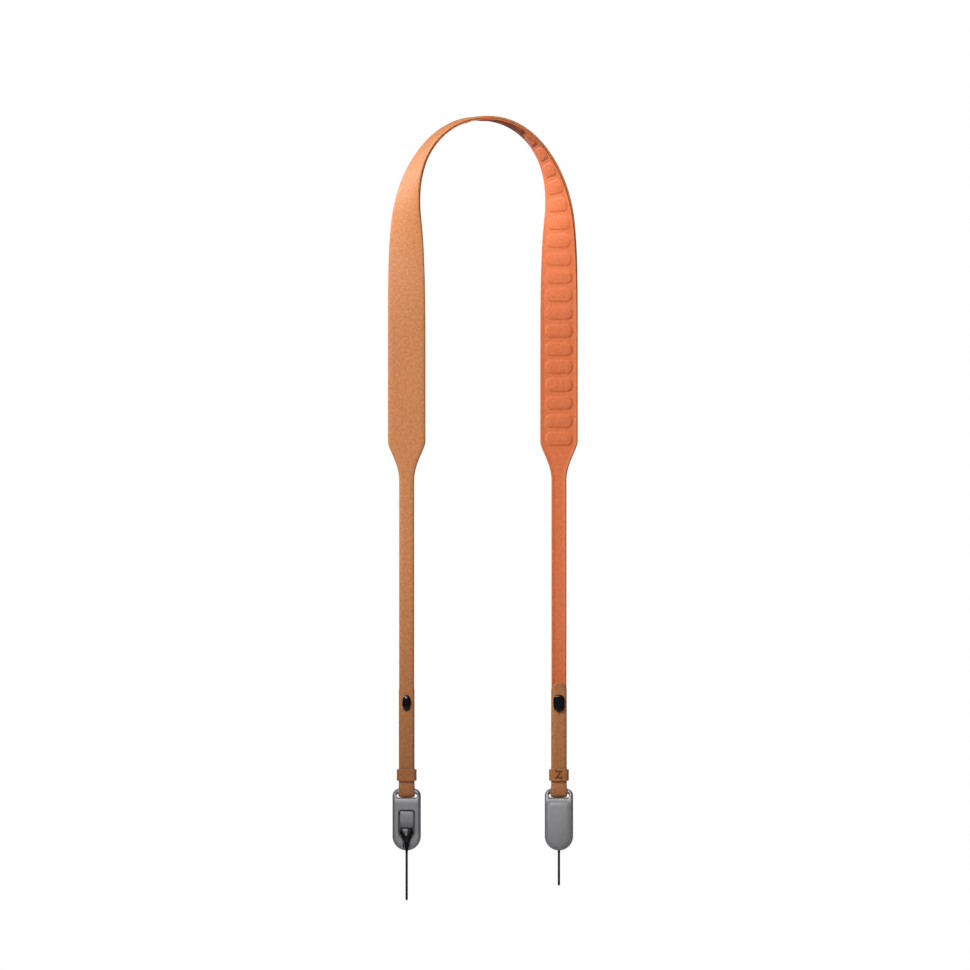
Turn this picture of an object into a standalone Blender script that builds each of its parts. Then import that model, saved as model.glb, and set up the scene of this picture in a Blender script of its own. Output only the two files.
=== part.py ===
"""A leather camera neck strap, hanging as a loop from the middle of its wide part.

Metres, +Z up. The origin is where a neck or a peg carries the strap: the lowest point of the padded
underside at the top of the loop. X runs from the left leg to the right leg, and Y runs away from the
viewer. The strap turns a quarter turn in each leg, so the left leg shows its outer face to the viewer
and the right leg shows its padded inner face.

Each leg ends in the same assembly, modelled once in an end frame and placed twice, the left one turned
half way round. In an end frame X runs across the leg, +Y is the outer side of the strap, and the origin
is the centre of the round lower edge of the bar that the leather is folded over.
"""

import math

import bmesh
import bpy
import numpy as np
from mathutils import Matrix, Vector

# How the strap hangs
LEG_OFFSET = 0.0609          # from the middle of the loop to the middle of each leg
ARCH_RISE = 0.0841           # height of the arch above the straight part of the legs
ARCH_POWER = 2.15            # 2 is an ellipse, and more is squarer
TWIST_LENGTH = 0.199         # stretch of strap, from the top, in which it turns a quarter turn

# The strap, along one half of it
HALF_WIDE_LENGTH = 0.2906    # full width up to here, from the top
TAPER_LENGTH = 0.0304
NARROW_LENGTH = 0.2501       # from the taper to the bar of the quick-release
WIDE_WIDTH = 0.0300
NARROW_WIDTH = 0.0120
LOOP_FLARE = 0.0010          # the fold through the quick-release is this much wider
TAPER_SKEW = 0.75            # under 1, the shoulder is rounder than the throat below it
LEATHER_THICKNESS = 0.0015
LINING_THICKNESS = 0.0010
LINING_INSET = 0.0004        # the lining's edge lies this far inside the leather's
TAIL_LENGTH = 0.0881         # from the bar up to the tip of the folded tail
TAIL_TIP_LENGTH = 0.0062     # the rounded end of the tail
GAP = 0.0003                 # between pieces that touch

# The raised pads of the lining
PAD_LENGTH = 0.0114          # along the strap
PAD_GROOVE = 0.0030          # between two pads
PAD_MARGIN = 0.0042          # from a pad to the edge of the strap
PAD_HEIGHT = 0.0011
PAD_SLOPE = 0.0014           # width of the sloping side of a pad

# The keeper, a leather band round both layers
KEEPER_ABOVE_BAR = 0.0143
KEEPER_HEIGHT = 0.0102
KEEPER_WALL = 0.0014
KEEPER_CORNER = 0.0016
KEEPER_SEAM = 0.0005         # width of the zigzag cut where its ends meet
KEEPER_SEAM_REACH = 0.0019   # how far the zigzag swings to each side

# The stud that buttons the tail to the strap
STUD_BELOW_TIP = 0.0162
STUD_NECK_WIDTH = 0.0038
STUD_HOLE_CLEARANCE = 0.0003
STUD_BASE_WIDTH = 0.0070     # the oval head on the outer side
STUD_BASE_LENGTH = 0.0128
STUD_BASE_HEIGHT = 0.0019
STUD_KNOB_WIDTH = 0.0090     # the squarer knob on the inner side
STUD_KNOB_LENGTH = 0.0131
STUD_KNOB_HEIGHT = 0.0026
KEYHOLE_SLIT_WIDTH = 0.0006
KEYHOLE_SLIT_LENGTH = 0.0095

# The bar of the quick-release and the slot below it
BAR_THICKNESS = 0.0040
BAR_HEIGHT = 0.0054
SLOT_SIDE_CLEARANCE = 0.0017
SLOT_CORNER = 0.0009
SLOT_BEVEL = 0.0011          # on both sides of the slot's lower edge
SLOT_LEDGE = 0.0027          # from the slot down to where the housing has its full thickness

# The spring button
BUTTON_TOP_DROP = 0.0180     # below the housing's top
BUTTON_WIDTH = 0.0110
BUTTON_HEIGHT = 0.0133
BUTTON_CORNER = 0.0016
BUTTON_THICKNESS = 0.0033
BUTTON_NOSE = 0.0017         # thickness left at the lower end of its ramp
BUTTON_RAMP_HEIGHT = 0.0044
BUTTON_EDGE = 0.0004
BUTTON_PROUD = 0.0001
BUTTON_TRAVEL = 0.0020

# The pocket that holds the button and the anchor
POCKET_CLEARANCE = 0.0006    # round the button
POCKET_CORNER = 0.0020
POCKET_RIM = 0.0009          # bevel round the pocket's mouth
THROAT_LENGTH = 0.0181       # from the button to the housing's lower end

# The anchor that sits below the button, and the cord loop moulded into it
ANCHOR_WIDTH = 0.0114
ANCHOR_THICKNESS = 0.0042
ANCHOR_TIP_BELOW_HOUSING = 0.0012
CORD_DIAMETER = 0.0019

# The rest of the housing
HORN_WIDTH = 0.0031          # of each horn that carries the bar
HOUSING_FLOOR = 0.0027       # between the pocket and the cover plate
HOUSING_TOP_THICKNESS = 0.0052
HOUSING_TOP_CORNER = 0.0056
HOUSING_EDGE_RADIUS = 0.0018

# The cover plate on the housing's back
PLATE_BORDER = 0.0019        # from the plate to the housing's outline
PLATE_BELOW_SHOULDER = 0.0003
PLATE_CORNER = 0.0026        # cut off its two upper corners
PLATE_THICKNESS = 0.0009
PLATE_RECESS = 0.0008
PLATE_BAND = 0.0024          # width of the slope round its flat middle
PLATE_CROWN = 0.0003         # height of that slope

# The pocket below the button, as shares of the throat's length and of half the pocket's width.
POCKET_THROAT = (
    # down, half width
    (0.00, 1.00),
    (0.14, 1.00),
    (0.29, 0.93),
    (0.41, 0.71),
    (0.53, 0.50),
    (0.62, 0.40),
    (0.73, 0.43),
    (0.85, 0.39),
    (0.94, 0.27),
    (1.00, 0.24),
    (1.15, 0.24),
)

# Sections of the anchor from its upper end to its tip, as shares of its length and half sizes.
ANCHOR_SECTIONS = (
    # down, half width, half thickness
    (0.00, 0.62, 0.50),
    (0.03, 0.86, 0.80),
    (0.11, 1.00, 0.98),
    (0.19, 0.97, 1.00),
    (0.27, 0.86, 0.97),
    (0.36, 0.68, 0.92),
    (0.46, 0.48, 0.86),
    (0.55, 0.345, 0.84),
    (0.63, 0.35, 0.98),
    (0.70, 0.36, 1.06),
    (0.79, 0.28, 1.08),
    (0.87, 0.21, 1.10),
    (1.00, 0.185, 1.10),
)

# Sections of the stud's two heads, from the neck outwards, as shares of their height and half sizes.
STUD_BASE_SECTIONS = (
    # height, half width, half length
    (0.00, 0.86, 0.90),
    (0.20, 1.00, 1.00),
    (0.50, 0.94, 0.96),
    (0.82, 0.66, 0.74),
    (1.00, 0.26, 0.34),
)
STUD_KNOB_SECTIONS = (
    # height, half width, half length
    (0.00, 0.80, 0.86),
    (0.22, 0.98, 0.985),
    (0.60, 1.00, 1.00),
    (0.86, 0.92, 0.94),
    (1.00, 0.72, 0.79),
)
STUD_BASE_POWER = 2.0        # an oval
STUD_KNOB_POWER = 3.2        # a rounded rectangle

# Where the strap's rows lie in its taper, as shares of the taper's length.
TAPER_ROWS = (0.0, 0.04, 0.09, 0.15, 0.23, 0.33, 0.45, 0.59, 0.76, 1.0)

# One strand of each cord loop, seen from the side, from the anchor's tip to the bottom of the loop. The
# other strand mirrors it. In metres outwards from the anchor's middle and metres below its tip.
LEFT_CORD_STRAND = (
    # out, down
    (0.00110, 0.0003), (0.00110, 0.0030), (0.00122, 0.0060), (0.00152, 0.0098), (0.00200, 0.0140),
    (0.00260, 0.0184), (0.00325, 0.0228), (0.00383, 0.0272), (0.00415, 0.0310), (0.00408, 0.0338),
    (0.00340, 0.0360), (0.00200, 0.03745), (0.00000, 0.0380),
)
RIGHT_CORD_STRAND = (
    # out, down
    (0.00110, 0.0003), (0.00112, 0.0025), (0.00134, 0.0050), (0.00188, 0.0084), (0.00262, 0.0118),
    (0.00336, 0.0152), (0.00392, 0.0184), (0.00412, 0.0210), (0.00385, 0.0232), (0.00300, 0.0249),
    (0.00160, 0.0259), (0.00000, 0.0262),
)
CORD_POINTS = 34             # points of each tube

# What follows from the sizes
HALF_LENGTH = HALF_WIDE_LENGTH + TAPER_LENGTH + NARROW_LENGTH
PAD_PITCH = PAD_LENGTH + PAD_GROOVE
PAD_WIDTH = WIDE_WIDTH - 2 * PAD_MARGIN
LOOP_WIDTH = NARROW_WIDTH + LOOP_FLARE
LEATHER_OFFSET = LINING_THICKNESS / 2 + GAP + LEATHER_THICKNESS / 2   # middle of leather to middle of lining
LOOP_RADIUS = BAR_THICKNESS / 2 + GAP + LEATHER_THICKNESS / 2         # middle of the leather round the bar
STACK_HALF = LEATHER_OFFSET + LEATHER_THICKNESS / 2                   # half of two layers and the lining
REFERENCE_TOP = LINING_THICKNESS / 2 + PAD_HEIGHT                     # middle of the lining, over the origin
KEEPER_INNER_X = NARROW_WIDTH / 2 + GAP
KEEPER_INNER_Y = STACK_HALF + GAP
STUD_ABOVE_BAR = TAIL_LENGTH - STUD_BELOW_TIP
HOUSING_TOP = BAR_HEIGHT - BAR_THICKNESS / 2                          # above the end frame's origin
SLOT_WIDTH = LOOP_WIDTH + 2 * SLOT_SIDE_CLEARANCE
SLOT_DROP = BAR_HEIGHT + GAP + LEATHER_THICKNESS + GAP                # lower edge of the slot below the top
SHOULDER_DROP = SLOT_DROP + SLOT_LEDGE                                # above this the housing thins
BUTTON_BOTTOM_DROP = BUTTON_TOP_DROP + BUTTON_HEIGHT
POCKET_WIDTH = BUTTON_WIDTH + 2 * POCKET_CLEARANCE
POCKET_TOP_DROP = BUTTON_TOP_DROP - POCKET_CLEARANCE
POCKET_DEPTH = BUTTON_THICKNESS - BUTTON_PROUD + BUTTON_TRAVEL + GAP
HOUSING_WIDTH = SLOT_WIDTH + 2 * HORN_WIDTH
HOUSING_HEIGHT = BUTTON_BOTTOM_DROP + THROAT_LENGTH
HOUSING_THICKNESS = POCKET_DEPTH + HOUSING_FLOOR + PLATE_RECESS
FRONT_FACE = HOUSING_THICKNESS / 2
POCKET_FLOOR = FRONT_FACE - POCKET_DEPTH
ANCHOR_TOP_DROP = BUTTON_BOTTOM_DROP + GAP
ANCHOR_LENGTH = HOUSING_HEIGHT + ANCHOR_TIP_BELOW_HOUSING - ANCHOR_TOP_DROP
ANCHOR_FULLEST = max(thickness for down, width, thickness in ANCHOR_SECTIONS)
ANCHOR_OFFSET = POCKET_FLOOR + GAP + ANCHOR_FULLEST * ANCHOR_THICKNESS / 2
PLATE_INNER_FACE = -FRONT_FACE + PLATE_RECESS - GAP

ROUND_END_STEPS = 18         # straight stretches in a half circle

# Colours and finishes
MATERIALS = {
    # name: (colour, roughness, metallic)
    "tan_leather": ((0.50, 0.22, 0.09), 0.62, 0.0),
    "orange_lining": ((0.60, 0.17, 0.06), 0.78, 0.0),
    "black_metal": ((0.012, 0.012, 0.014), 0.22, 0.8),
    "grey_shell": ((0.13, 0.13, 0.13), 0.42, 0.4),
    "black_rubber": ((0.015, 0.015, 0.015), 0.35, 0.0),
    "black_cord": ((0.012, 0.012, 0.012), 0.65, 0.0),
}


def clear_scene():
    for obj in list(bpy.data.objects):
        bpy.data.objects.remove(obj)


def new_collection(name):
    collection = bpy.data.collections.new(name)
    bpy.context.scene.collection.children.link(collection)
    return collection


def make_material(name):
    colour, roughness, metallic = MATERIALS[name]
    material = bpy.data.materials.new(name)
    material.use_nodes = True
    shader = material.node_tree.nodes["Principled BSDF"]
    shader.inputs["Base Color"].default_value = (*colour, 1.0)
    shader.inputs["Roughness"].default_value = roughness
    shader.inputs["Metallic"].default_value = metallic
    return material


def smooth_step(share):
    share = min(max(share, 0.0), 1.0)
    return share * share * (3 - 2 * share)


# The line that the strap follows


def arch_line():
    """The quarter arch from the top to the right leg: distance out, distance down, length along it."""
    turn = np.linspace(0, math.pi / 2, 361)
    out = LEG_OFFSET * np.sin(turn) ** (2 / ARCH_POWER)
    down = ARCH_RISE * (1 - np.clip(np.cos(turn), 0, 1) ** (2 / ARCH_POWER))
    steps = np.hypot(np.diff(out), np.diff(down))
    return out, down, np.concatenate([[0.0], np.cumsum(steps)])


ARCH_OUT, ARCH_DOWN, ARCH_ALONG = arch_line()
ARCH_LENGTH = float(ARCH_ALONG[-1])
BAR_LEVEL = REFERENCE_TOP - ARCH_RISE - (HALF_LENGTH - ARCH_LENGTH)


def strap_point(along):
    """The middle of the lining at this distance from the top, negative towards the left leg."""
    length = abs(along)
    out = float(np.interp(length, ARCH_ALONG, ARCH_OUT))
    down = float(np.interp(length, ARCH_ALONG, ARCH_DOWN)) + max(0.0, length - ARCH_LENGTH)
    return Vector((math.copysign(out, along), 0.0, REFERENCE_TOP - down))


def strap_frame(along):
    """(point, direction across, outward normal) of the strap at this distance from the top."""
    reach = 0.0004
    forward = (strap_point(along + reach) - strap_point(along - reach)).normalized()
    outward = Vector((-forward.z, 0.0, forward.x))
    turn = math.copysign(math.pi / 2 * smooth_step(abs(along) / TWIST_LENGTH), along)
    across = Vector((0, -1, 0)) * math.cos(turn) + outward * math.sin(turn)
    return strap_point(along), across, across.cross(forward)


def strap_width(along):
    """Width of the leather at this distance from the top."""
    share = max(0.0, (abs(along) - HALF_WIDE_LENGTH) / TAPER_LENGTH)
    return NARROW_WIDTH + (WIDE_WIDTH - NARROW_WIDTH) * (1 - smooth_step(min(share, 1.0) ** TAPER_SKEW))


def on_strap(along, across, out):
    """A point of the strap: along it, across it, and out from the middle of its lining."""
    point, side, normal = strap_frame(along)
    return point + side * across + normal * out


def twisting_rows():
    """Distances from the top, at quarter pitches of the pads, that cover the twisting stretch of one leg."""
    step = PAD_PITCH / 4
    count = math.ceil(max(TWIST_LENGTH, ARCH_LENGTH) / step)
    return [step * i for i in range(count + 1) if step * i < HALF_WIDE_LENGTH]


def taper_rows():
    return [HALF_WIDE_LENGTH + TAPER_LENGTH * share for share in TAPER_ROWS]


# Meshes


def new_mesh(name, bm):
    bmesh.ops.recalc_face_normals(bm, faces=bm.faces)
    mesh = bpy.data.meshes.new(name)
    bm.to_mesh(mesh)
    bm.free()
    return mesh


def loft(name, rings):
    """A closed body through rings of as many points each, with its two ends filled."""
    bm = bmesh.new()
    rows = [[bm.verts.new(point) for point in ring] for ring in rings]
    count = len(rows[0])
    for low, high in zip(rows, rows[1:]):
        for i in range(count):
            j = (i + 1) % count
            bm.faces.new((low[i], low[j], high[j], high[i]))
    bm.faces.new(rows[0])
    bm.faces.new(rows[-1])
    return new_mesh(name, bm)


def evaluated_mesh(obj):
    """What this object's modifiers make of it, as a mesh of its own. The object is removed."""
    graph = bpy.context.evaluated_depsgraph_get()
    mesh = bpy.data.meshes.new_from_object(obj.evaluated_get(graph))
    bpy.data.objects.remove(obj)
    return mesh


def scratch_object(mesh):
    obj = bpy.data.objects.new("scratch", mesh)
    bpy.context.scene.collection.objects.link(obj)
    return obj


def bevelled(mesh, width, segments):
    """The mesh with its sharp edges rounded to this width."""
    obj = scratch_object(mesh)
    bevel = obj.modifiers.new("edges", "BEVEL")
    bevel.width = width
    bevel.segments = segments
    bevel.limit_method = "ANGLE"
    bevel.angle_limit = math.radians(50)
    bevel.use_clamp_overlap = False
    return evaluated_mesh(obj)


def combined(mesh, other, operation):
    """The mesh cut by, joined to or kept inside the other one."""
    obj = scratch_object(mesh)
    tool = scratch_object(other)
    boolean = obj.modifiers.new("combine", "BOOLEAN")
    boolean.operation = operation
    boolean.object = tool
    boolean.solver = "EXACT"
    result = evaluated_mesh(obj)
    bpy.data.objects.remove(tool)
    return result


def flat_solid(name, outlines, thickness, upright=True):
    """A plate with these outlines, the first its edge and the others holes, centred on its own plane.

    Upright, it stands in the XZ plane and is thick along Y. Otherwise it lies in the XY plane.
    """
    curve = bpy.data.curves.new(name, "CURVE")
    curve.dimensions = "2D"
    curve.fill_mode = "BOTH"
    curve.extrude = thickness / 2
    for outline in outlines:
        spline = curve.splines.new("POLY")
        spline.points.add(len(outline) - 1)
        for point, (x, y) in zip(spline.points, outline):
            point.co = (x, y, 0.0, 1.0)
        spline.use_cyclic_u = True
    obj = bpy.data.objects.new(name, curve)
    bpy.context.scene.collection.objects.link(obj)
    mesh = evaluated_mesh(obj)
    bm = bmesh.new()
    bm.from_mesh(mesh)
    bmesh.ops.remove_doubles(bm, verts=bm.verts, dist=1e-6)
    bmesh.ops.dissolve_limit(bm, angle_limit=math.radians(1), verts=bm.verts, edges=bm.edges)
    if upright:
        bmesh.ops.rotate(bm, verts=bm.verts, cent=(0, 0, 0), matrix=Matrix.Rotation(math.pi / 2, 3, "X"))
    return new_mesh(name, bm)


def moved(mesh, offset):
    mesh.transform(Matrix.Translation(offset))
    return mesh


def arc(centre, radius, start, end, steps):
    """Points of an arc, its angles in degrees from +X."""
    angles = np.radians(np.linspace(start, end, steps + 1))
    return [(centre[0] + radius * math.cos(a), centre[1] + radius * math.sin(a)) for a in angles]


def rounded_rectangle(left, right, bottom, top, radius, steps=4):
    return (
        arc((right - radius, top - radius), radius, 0, 90, steps)
        + arc((left + radius, top - radius), radius, 90, 180, steps)
        + arc((left + radius, bottom + radius), radius, 180, 270, steps)
        + arc((right - radius, bottom + radius), radius, 270, 360, steps)
    )


def oval_ring(half_x, half_y, power, count):
    """A closed ring of points, an ellipse at power 2 and squarer above."""
    ring = []
    for i in range(count):
        angle = 2 * math.pi * (i + 0.5) / count
        c, s = math.cos(angle), math.sin(angle)
        x = half_x * math.copysign(abs(c) ** (2 / power), c)
        y = half_y * math.copysign(abs(s) ** (2 / power), s)
        ring.append((x, y))
    return ring


# The leather


def leather_ring(point, across, normal, half_width):
    """Six points round the leather: its four edges and the middle of each face."""
    lift = normal * (LEATHER_THICKNESS / 2)
    side = across * half_width
    return [point - side - lift, point - lift, point + side - lift,
            point + side + lift, point + lift, point - side + lift]


def fold_line():
    """The right leg's leather from the keeper, round the bar and up to the tail's tip.

    Each row is (outwards, above the bar) in the end frame.
    """
    start = KEEPER_ABOVE_BAR - KEEPER_HEIGHT / 2
    end = HOUSING_TOP - BAR_THICKNESS / 4
    spread = []
    for share in (0.0, 0.25, 0.5, 0.75, 1.0):
        out = LEATHER_OFFSET + (LOOP_RADIUS - LEATHER_OFFSET) * smooth_step(share)
        spread.append((out, start + (end - start) * share))
    turn = [(LOOP_RADIUS * math.cos(a), -LOOP_RADIUS * math.sin(a)) for a in np.linspace(0, math.pi, 9)]
    back = [(-out, height) for out, height in reversed(spread)]
    straight = TAIL_LENGTH - TAIL_TIP_LENGTH
    tip = [straight + TAIL_TIP_LENGTH * share for share in (0.0, 0.3, 0.55, 0.78, 0.93, 1.0)]
    return spread + turn + back + [(-LEATHER_OFFSET, height) for height in tip]


def fold_half_width(out, height):
    """Half the width of the leather at a row of the fold line."""
    above_keeper = (height - KEEPER_ABOVE_BAR + KEEPER_HEIGHT / 2) / KEEPER_HEIGHT
    width = LOOP_WIDTH - LOOP_FLARE * smooth_step(1 + above_keeper)
    into_tip = (height - TAIL_LENGTH + TAIL_TIP_LENGTH) / TAIL_TIP_LENGTH
    if out < 0 < into_tip:
        width *= math.sqrt(max(1 - into_tip ** 2, 0.03))
    return width / 2


def right_leather_rings():
    """Rings of the leather from the middle of the strap to the tip of the right tail."""
    rings = []
    keeper_top = HALF_LENGTH - KEEPER_ABOVE_BAR - KEEPER_HEIGHT / 2
    for along in twisting_rows() + taper_rows() + [keeper_top]:
        point, across, normal = strap_frame(along)
        rings.append(leather_ring(point + normal * LEATHER_OFFSET, across, normal, strap_width(along) / 2))
    rows = fold_line()
    line = [Vector((LEG_OFFSET, out, BAR_LEVEL + height)) for out, height in rows]
    across = Vector((1, 0, 0))
    for i, (out, height) in enumerate(rows):
        ahead = line[min(i + 1, len(line) - 1)] - line[max(i - 1, 0)]
        normal = across.cross(ahead.normalized())
        rings.append(leather_ring(line[i], across, normal, fold_half_width(out, height)))
    return rings


def half_turn(ring):
    """The same ring on the other leg, its points in the order that carries on along the strap."""
    turned = [Vector((-p.x, -p.y, p.z)) for p in ring]
    return [turned[2], turned[1], turned[0], turned[5], turned[4], turned[3]]


def outer_leather_mesh():
    right = right_leather_rings()
    left = [half_turn(ring) for ring in right[:0:-1]]
    return loft("outer_leather", left + right)


# The lining and its pads


def pad_outline(half_length, half_width):
    """Fourteen points round a pad, as (along, across)."""
    quarter = ((0.0, 1.0), (0.46, 0.975), (0.82, 0.86), (1.0, 0.65))
    right = [(a * half_length, c * half_width) for a, c in quarter]
    left = [(a, -c) for a, c in reversed(right)]
    back = [(-a, -c) for a, c in right[1:]] + [(-a, c) for a, c in reversed(right[1:])]
    return right + left + back


def lining_half_width(along):
    return strap_width(along) / 2 - LINING_INSET


def lining_mesh():
    """One pressed sheet: flat on its outer side, with a row of raised pads on its inner side."""
    bm = bmesh.new()
    outer, inner = LINING_THICKNESS / 2, -LINING_THICKNESS / 2
    pads_each_way = int(HALF_WIDE_LENGTH / PAD_PITCH)
    cell_end = (pads_each_way + 0.5) * PAD_PITCH
    end = HALF_LENGTH - KEEPER_ABOVE_BAR
    step = PAD_PITCH / 4
    padded = [-cell_end + step * i for i in range(4 * (2 * pads_each_way + 1) + 1)]
    beyond = [along for along in taper_rows() if along > cell_end + step / 4] + [end]
    rows = [-along for along in reversed(beyond)] + padded + beyond
    first, last = len(beyond), len(beyond) + len(padded) - 1

    def vertex(along, across, out):
        return bm.verts.new(on_strap(along, across, out))

    edges = [{
        "left_out": vertex(s, -lining_half_width(s), outer),
        "mid_out": vertex(s, 0.0, outer),
        "right_out": vertex(s, lining_half_width(s), outer),
        "left_in": vertex(s, -lining_half_width(s), inner),
        "right_in": vertex(s, lining_half_width(s), inner),
    } for s in rows]
    for low, high in zip(edges, edges[1:]):
        bm.faces.new((low["left_out"], low["mid_out"], high["mid_out"], high["left_out"]))
        bm.faces.new((low["mid_out"], low["right_out"], high["right_out"], high["mid_out"]))
        bm.faces.new((low["right_out"], low["right_in"], high["right_in"], high["right_out"]))
        bm.faces.new((low["left_in"], low["left_out"], high["left_out"], high["left_in"]))

    # Between two pads a line of four points crosses the inner face.
    shoulder = PAD_WIDTH / 2 * 0.65
    crossings = [
        (vertex(rows[i], -shoulder, inner), vertex(rows[i], shoulder, inner))
        for i in range(first, last + 1, 4)
    ]
    for cell in range(2 * pads_each_way + 1):
        low, centre = first + 4 * cell, rows[first + 4 * cell + 2]
        near, far = crossings[cell], crossings[cell + 1]
        border = [
            edges[low + 2]["right_in"], edges[low + 3]["right_in"], edges[low + 4]["right_in"], far[1],
            far[0], edges[low + 4]["left_in"], edges[low + 3]["left_in"], edges[low + 2]["left_in"],
            edges[low + 1]["left_in"], edges[low]["left_in"], near[0],
            near[1], edges[low]["right_in"], edges[low + 1]["right_in"],
        ]
        foot = [vertex(centre + a, c, inner) for a, c in pad_outline(PAD_LENGTH / 2, PAD_WIDTH / 2)]
        crest = [
            vertex(centre + a, c, inner - PAD_HEIGHT)
            for a, c in pad_outline(PAD_LENGTH / 2 - PAD_SLOPE, PAD_WIDTH / 2 - PAD_SLOPE)
        ]
        for outside, inside in ((border, foot), (foot, crest)):
            for i in range(14):
                j = (i + 1) % 14
                bm.faces.new((outside[i], outside[j], inside[j], inside[i]))
        bm.faces.new(crest)

    # Beyond the last pads the inner face is plain.
    for i in list(range(first - 1)) + list(range(last + 1, len(rows) - 1)):
        low, high = edges[i], edges[i + 1]
        bm.faces.new((low["left_in"], low["right_in"], high["right_in"], high["left_in"]))
    low, high = edges[first - 1], edges[first]
    bm.faces.new((low["left_in"], low["right_in"], high["right_in"],
                  crossings[0][1], crossings[0][0], high["left_in"]))
    low, high = edges[last], edges[last + 1]
    bm.faces.new((low["left_in"], crossings[-1][0], crossings[-1][1],
                  low["right_in"], high["right_in"], high["left_in"]))
    for row in (edges[0], edges[-1]):
        bm.faces.new((row["left_out"], row["mid_out"], row["right_out"], row["right_in"], row["left_in"]))
    return new_mesh("inner_lining", bm)


# The pieces of one end, in its end frame


def keeper_mesh():
    """A band of leather whose ends meet in a zigzag on the inner side of the strap."""
    outer_x, outer_y = KEEPER_INNER_X + KEEPER_WALL, KEEPER_INNER_Y + KEEPER_WALL
    inner_corner = KEEPER_CORNER / 3
    band = flat_solid("keeper", [
        rounded_rectangle(-outer_x, outer_x, -outer_y, outer_y, KEEPER_CORNER, 3),
        rounded_rectangle(-KEEPER_INNER_X, KEEPER_INNER_X, -KEEPER_INNER_Y, KEEPER_INNER_Y, inner_corner, 1),
    ], KEEPER_HEIGHT, upright=False)
    half = KEEPER_HEIGHT / 2
    reach, seam = KEEPER_SEAM_REACH, KEEPER_SEAM / 2
    line = ((-reach, 1.2), (reach, 0.30), (-reach, -0.30), (reach, -1.2))
    zigzag = [(x - seam, share * half) for x, share in line]
    zigzag += [(x + seam, share * half) for x, share in reversed(line)]
    cutter = flat_solid("keeper_seam", [zigzag], 4 * KEEPER_WALL)
    return combined(band, moved(cutter, (0, -outer_y - KEEPER_WALL / 2, 0)), "DIFFERENCE")


def stud_mesh():
    """One turned and pressed piece: a domed oval on the outer side, a neck, and a knob on the inner side."""
    count = 18
    face = STACK_HALF + GAP
    neck = STUD_NECK_WIDTH / 2
    rings = []
    for height, half_x, half_z in reversed(STUD_KNOB_SECTIONS):
        ring = oval_ring(half_x * STUD_KNOB_WIDTH / 2, half_z * STUD_KNOB_LENGTH / 2, STUD_KNOB_POWER, count)
        rings.append([(x, -face - height * STUD_KNOB_HEIGHT, z) for x, z in ring])
    for side in (-1, 1):
        rings.append([(x, side * face, z) for x, z in oval_ring(neck, neck, 2.0, count)])
    for height, half_x, half_z in STUD_BASE_SECTIONS:
        ring = oval_ring(half_x * STUD_BASE_WIDTH / 2, half_z * STUD_BASE_LENGTH / 2, STUD_BASE_POWER, count)
        rings.append([(x, face + height * STUD_BASE_HEIGHT, z) for x, z in ring])
    return loft("stud", rings)


def housing_outline():
    """Rounded corners above and one half circle below. The origin is the middle of the top edge."""
    half, corner = HOUSING_WIDTH / 2, HOUSING_TOP_CORNER
    return (
        arc((half - corner, -corner), corner, 0, 90, 6)
        + arc((corner - half, -corner), corner, 90, 180, 6)
        + arc((0.0, half - HOUSING_HEIGHT), half, 180, 360, ROUND_END_STEPS)
    )


def half_thickness(drop):
    """Half the housing's thickness at this distance below its top."""
    share = max(0.0, 1 - drop / SHOULDER_DROP)
    return FRONT_FACE + share * (HOUSING_TOP_THICKNESS / 2 - FRONT_FACE)


def housing_blank():
    """The outer form: a rounded outline with rounded edges, thinner towards the top."""
    mesh = bevelled(flat_solid("housing", [housing_outline()], HOUSING_THICKNESS), HOUSING_EDGE_RADIUS, 3)
    bm = bmesh.new()
    bm.from_mesh(mesh)
    everything = list(bm.verts) + list(bm.edges) + list(bm.faces)
    bmesh.ops.bisect_plane(bm, geom=everything, plane_co=(0, 0, -SHOULDER_DROP), plane_no=(0, 0, 1))
    for vertex in bm.verts:
        vertex.co.y *= half_thickness(-vertex.co.z) / FRONT_FACE
    return new_mesh("housing", bm)


def slot_cutter():
    """Opens the housing's top round the bar, and bevels both sides of the slot's lower edge."""
    half = SLOT_WIDTH / 2
    start = half_thickness(SLOT_DROP) - SLOT_BEVEL
    end = FRONT_FACE + SLOT_BEVEL
    rings = []
    for y in (-end, -start, start, end):
        lower = -SLOT_DROP - abs(y) + start
        outline = rounded_rectangle(-half, half, lower, HOUSING_TOP_CORNER, SLOT_CORNER, 3)
        rings.append([(x, y, z) for x, z in outline])
    return loft("slot", rings)


def loop_bar():
    """The round-edged bar across the slot, which ends inside the housing's two horns."""
    radius = min(BAR_THICKNESS, BAR_HEIGHT) / 2 - 1e-5
    section = rounded_rectangle(-BAR_THICKNESS / 2, BAR_THICKNESS / 2, -BAR_HEIGHT, 0.0, radius, 5)
    overlap = HORN_WIDTH / 3
    bar = flat_solid("bar", [section], SLOT_WIDTH + 2 * overlap)
    bar.transform(Matrix.Rotation(math.pi / 2, 4, "Z"))
    return combined(bar, flat_solid("trim", [housing_outline()], 2 * BAR_THICKNESS), "INTERSECT")


def pocket_outline():
    """The pocket seen from the outer side, from its top down and out through the housing's lower end."""
    half = POCKET_WIDTH / 2
    top = -POCKET_TOP_DROP
    corners = arc((half - POCKET_CORNER, top - POCKET_CORNER), POCKET_CORNER, 0, 90, 4)
    corners += arc((POCKET_CORNER - half, top - POCKET_CORNER), POCKET_CORNER, 90, 180, 4)
    left = [(-half * width, -BUTTON_BOTTOM_DROP - down * THROAT_LENGTH) for down, width in POCKET_THROAT]
    right = [(-x, z) for x, z in reversed(left)]
    return corners + left + right


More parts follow.
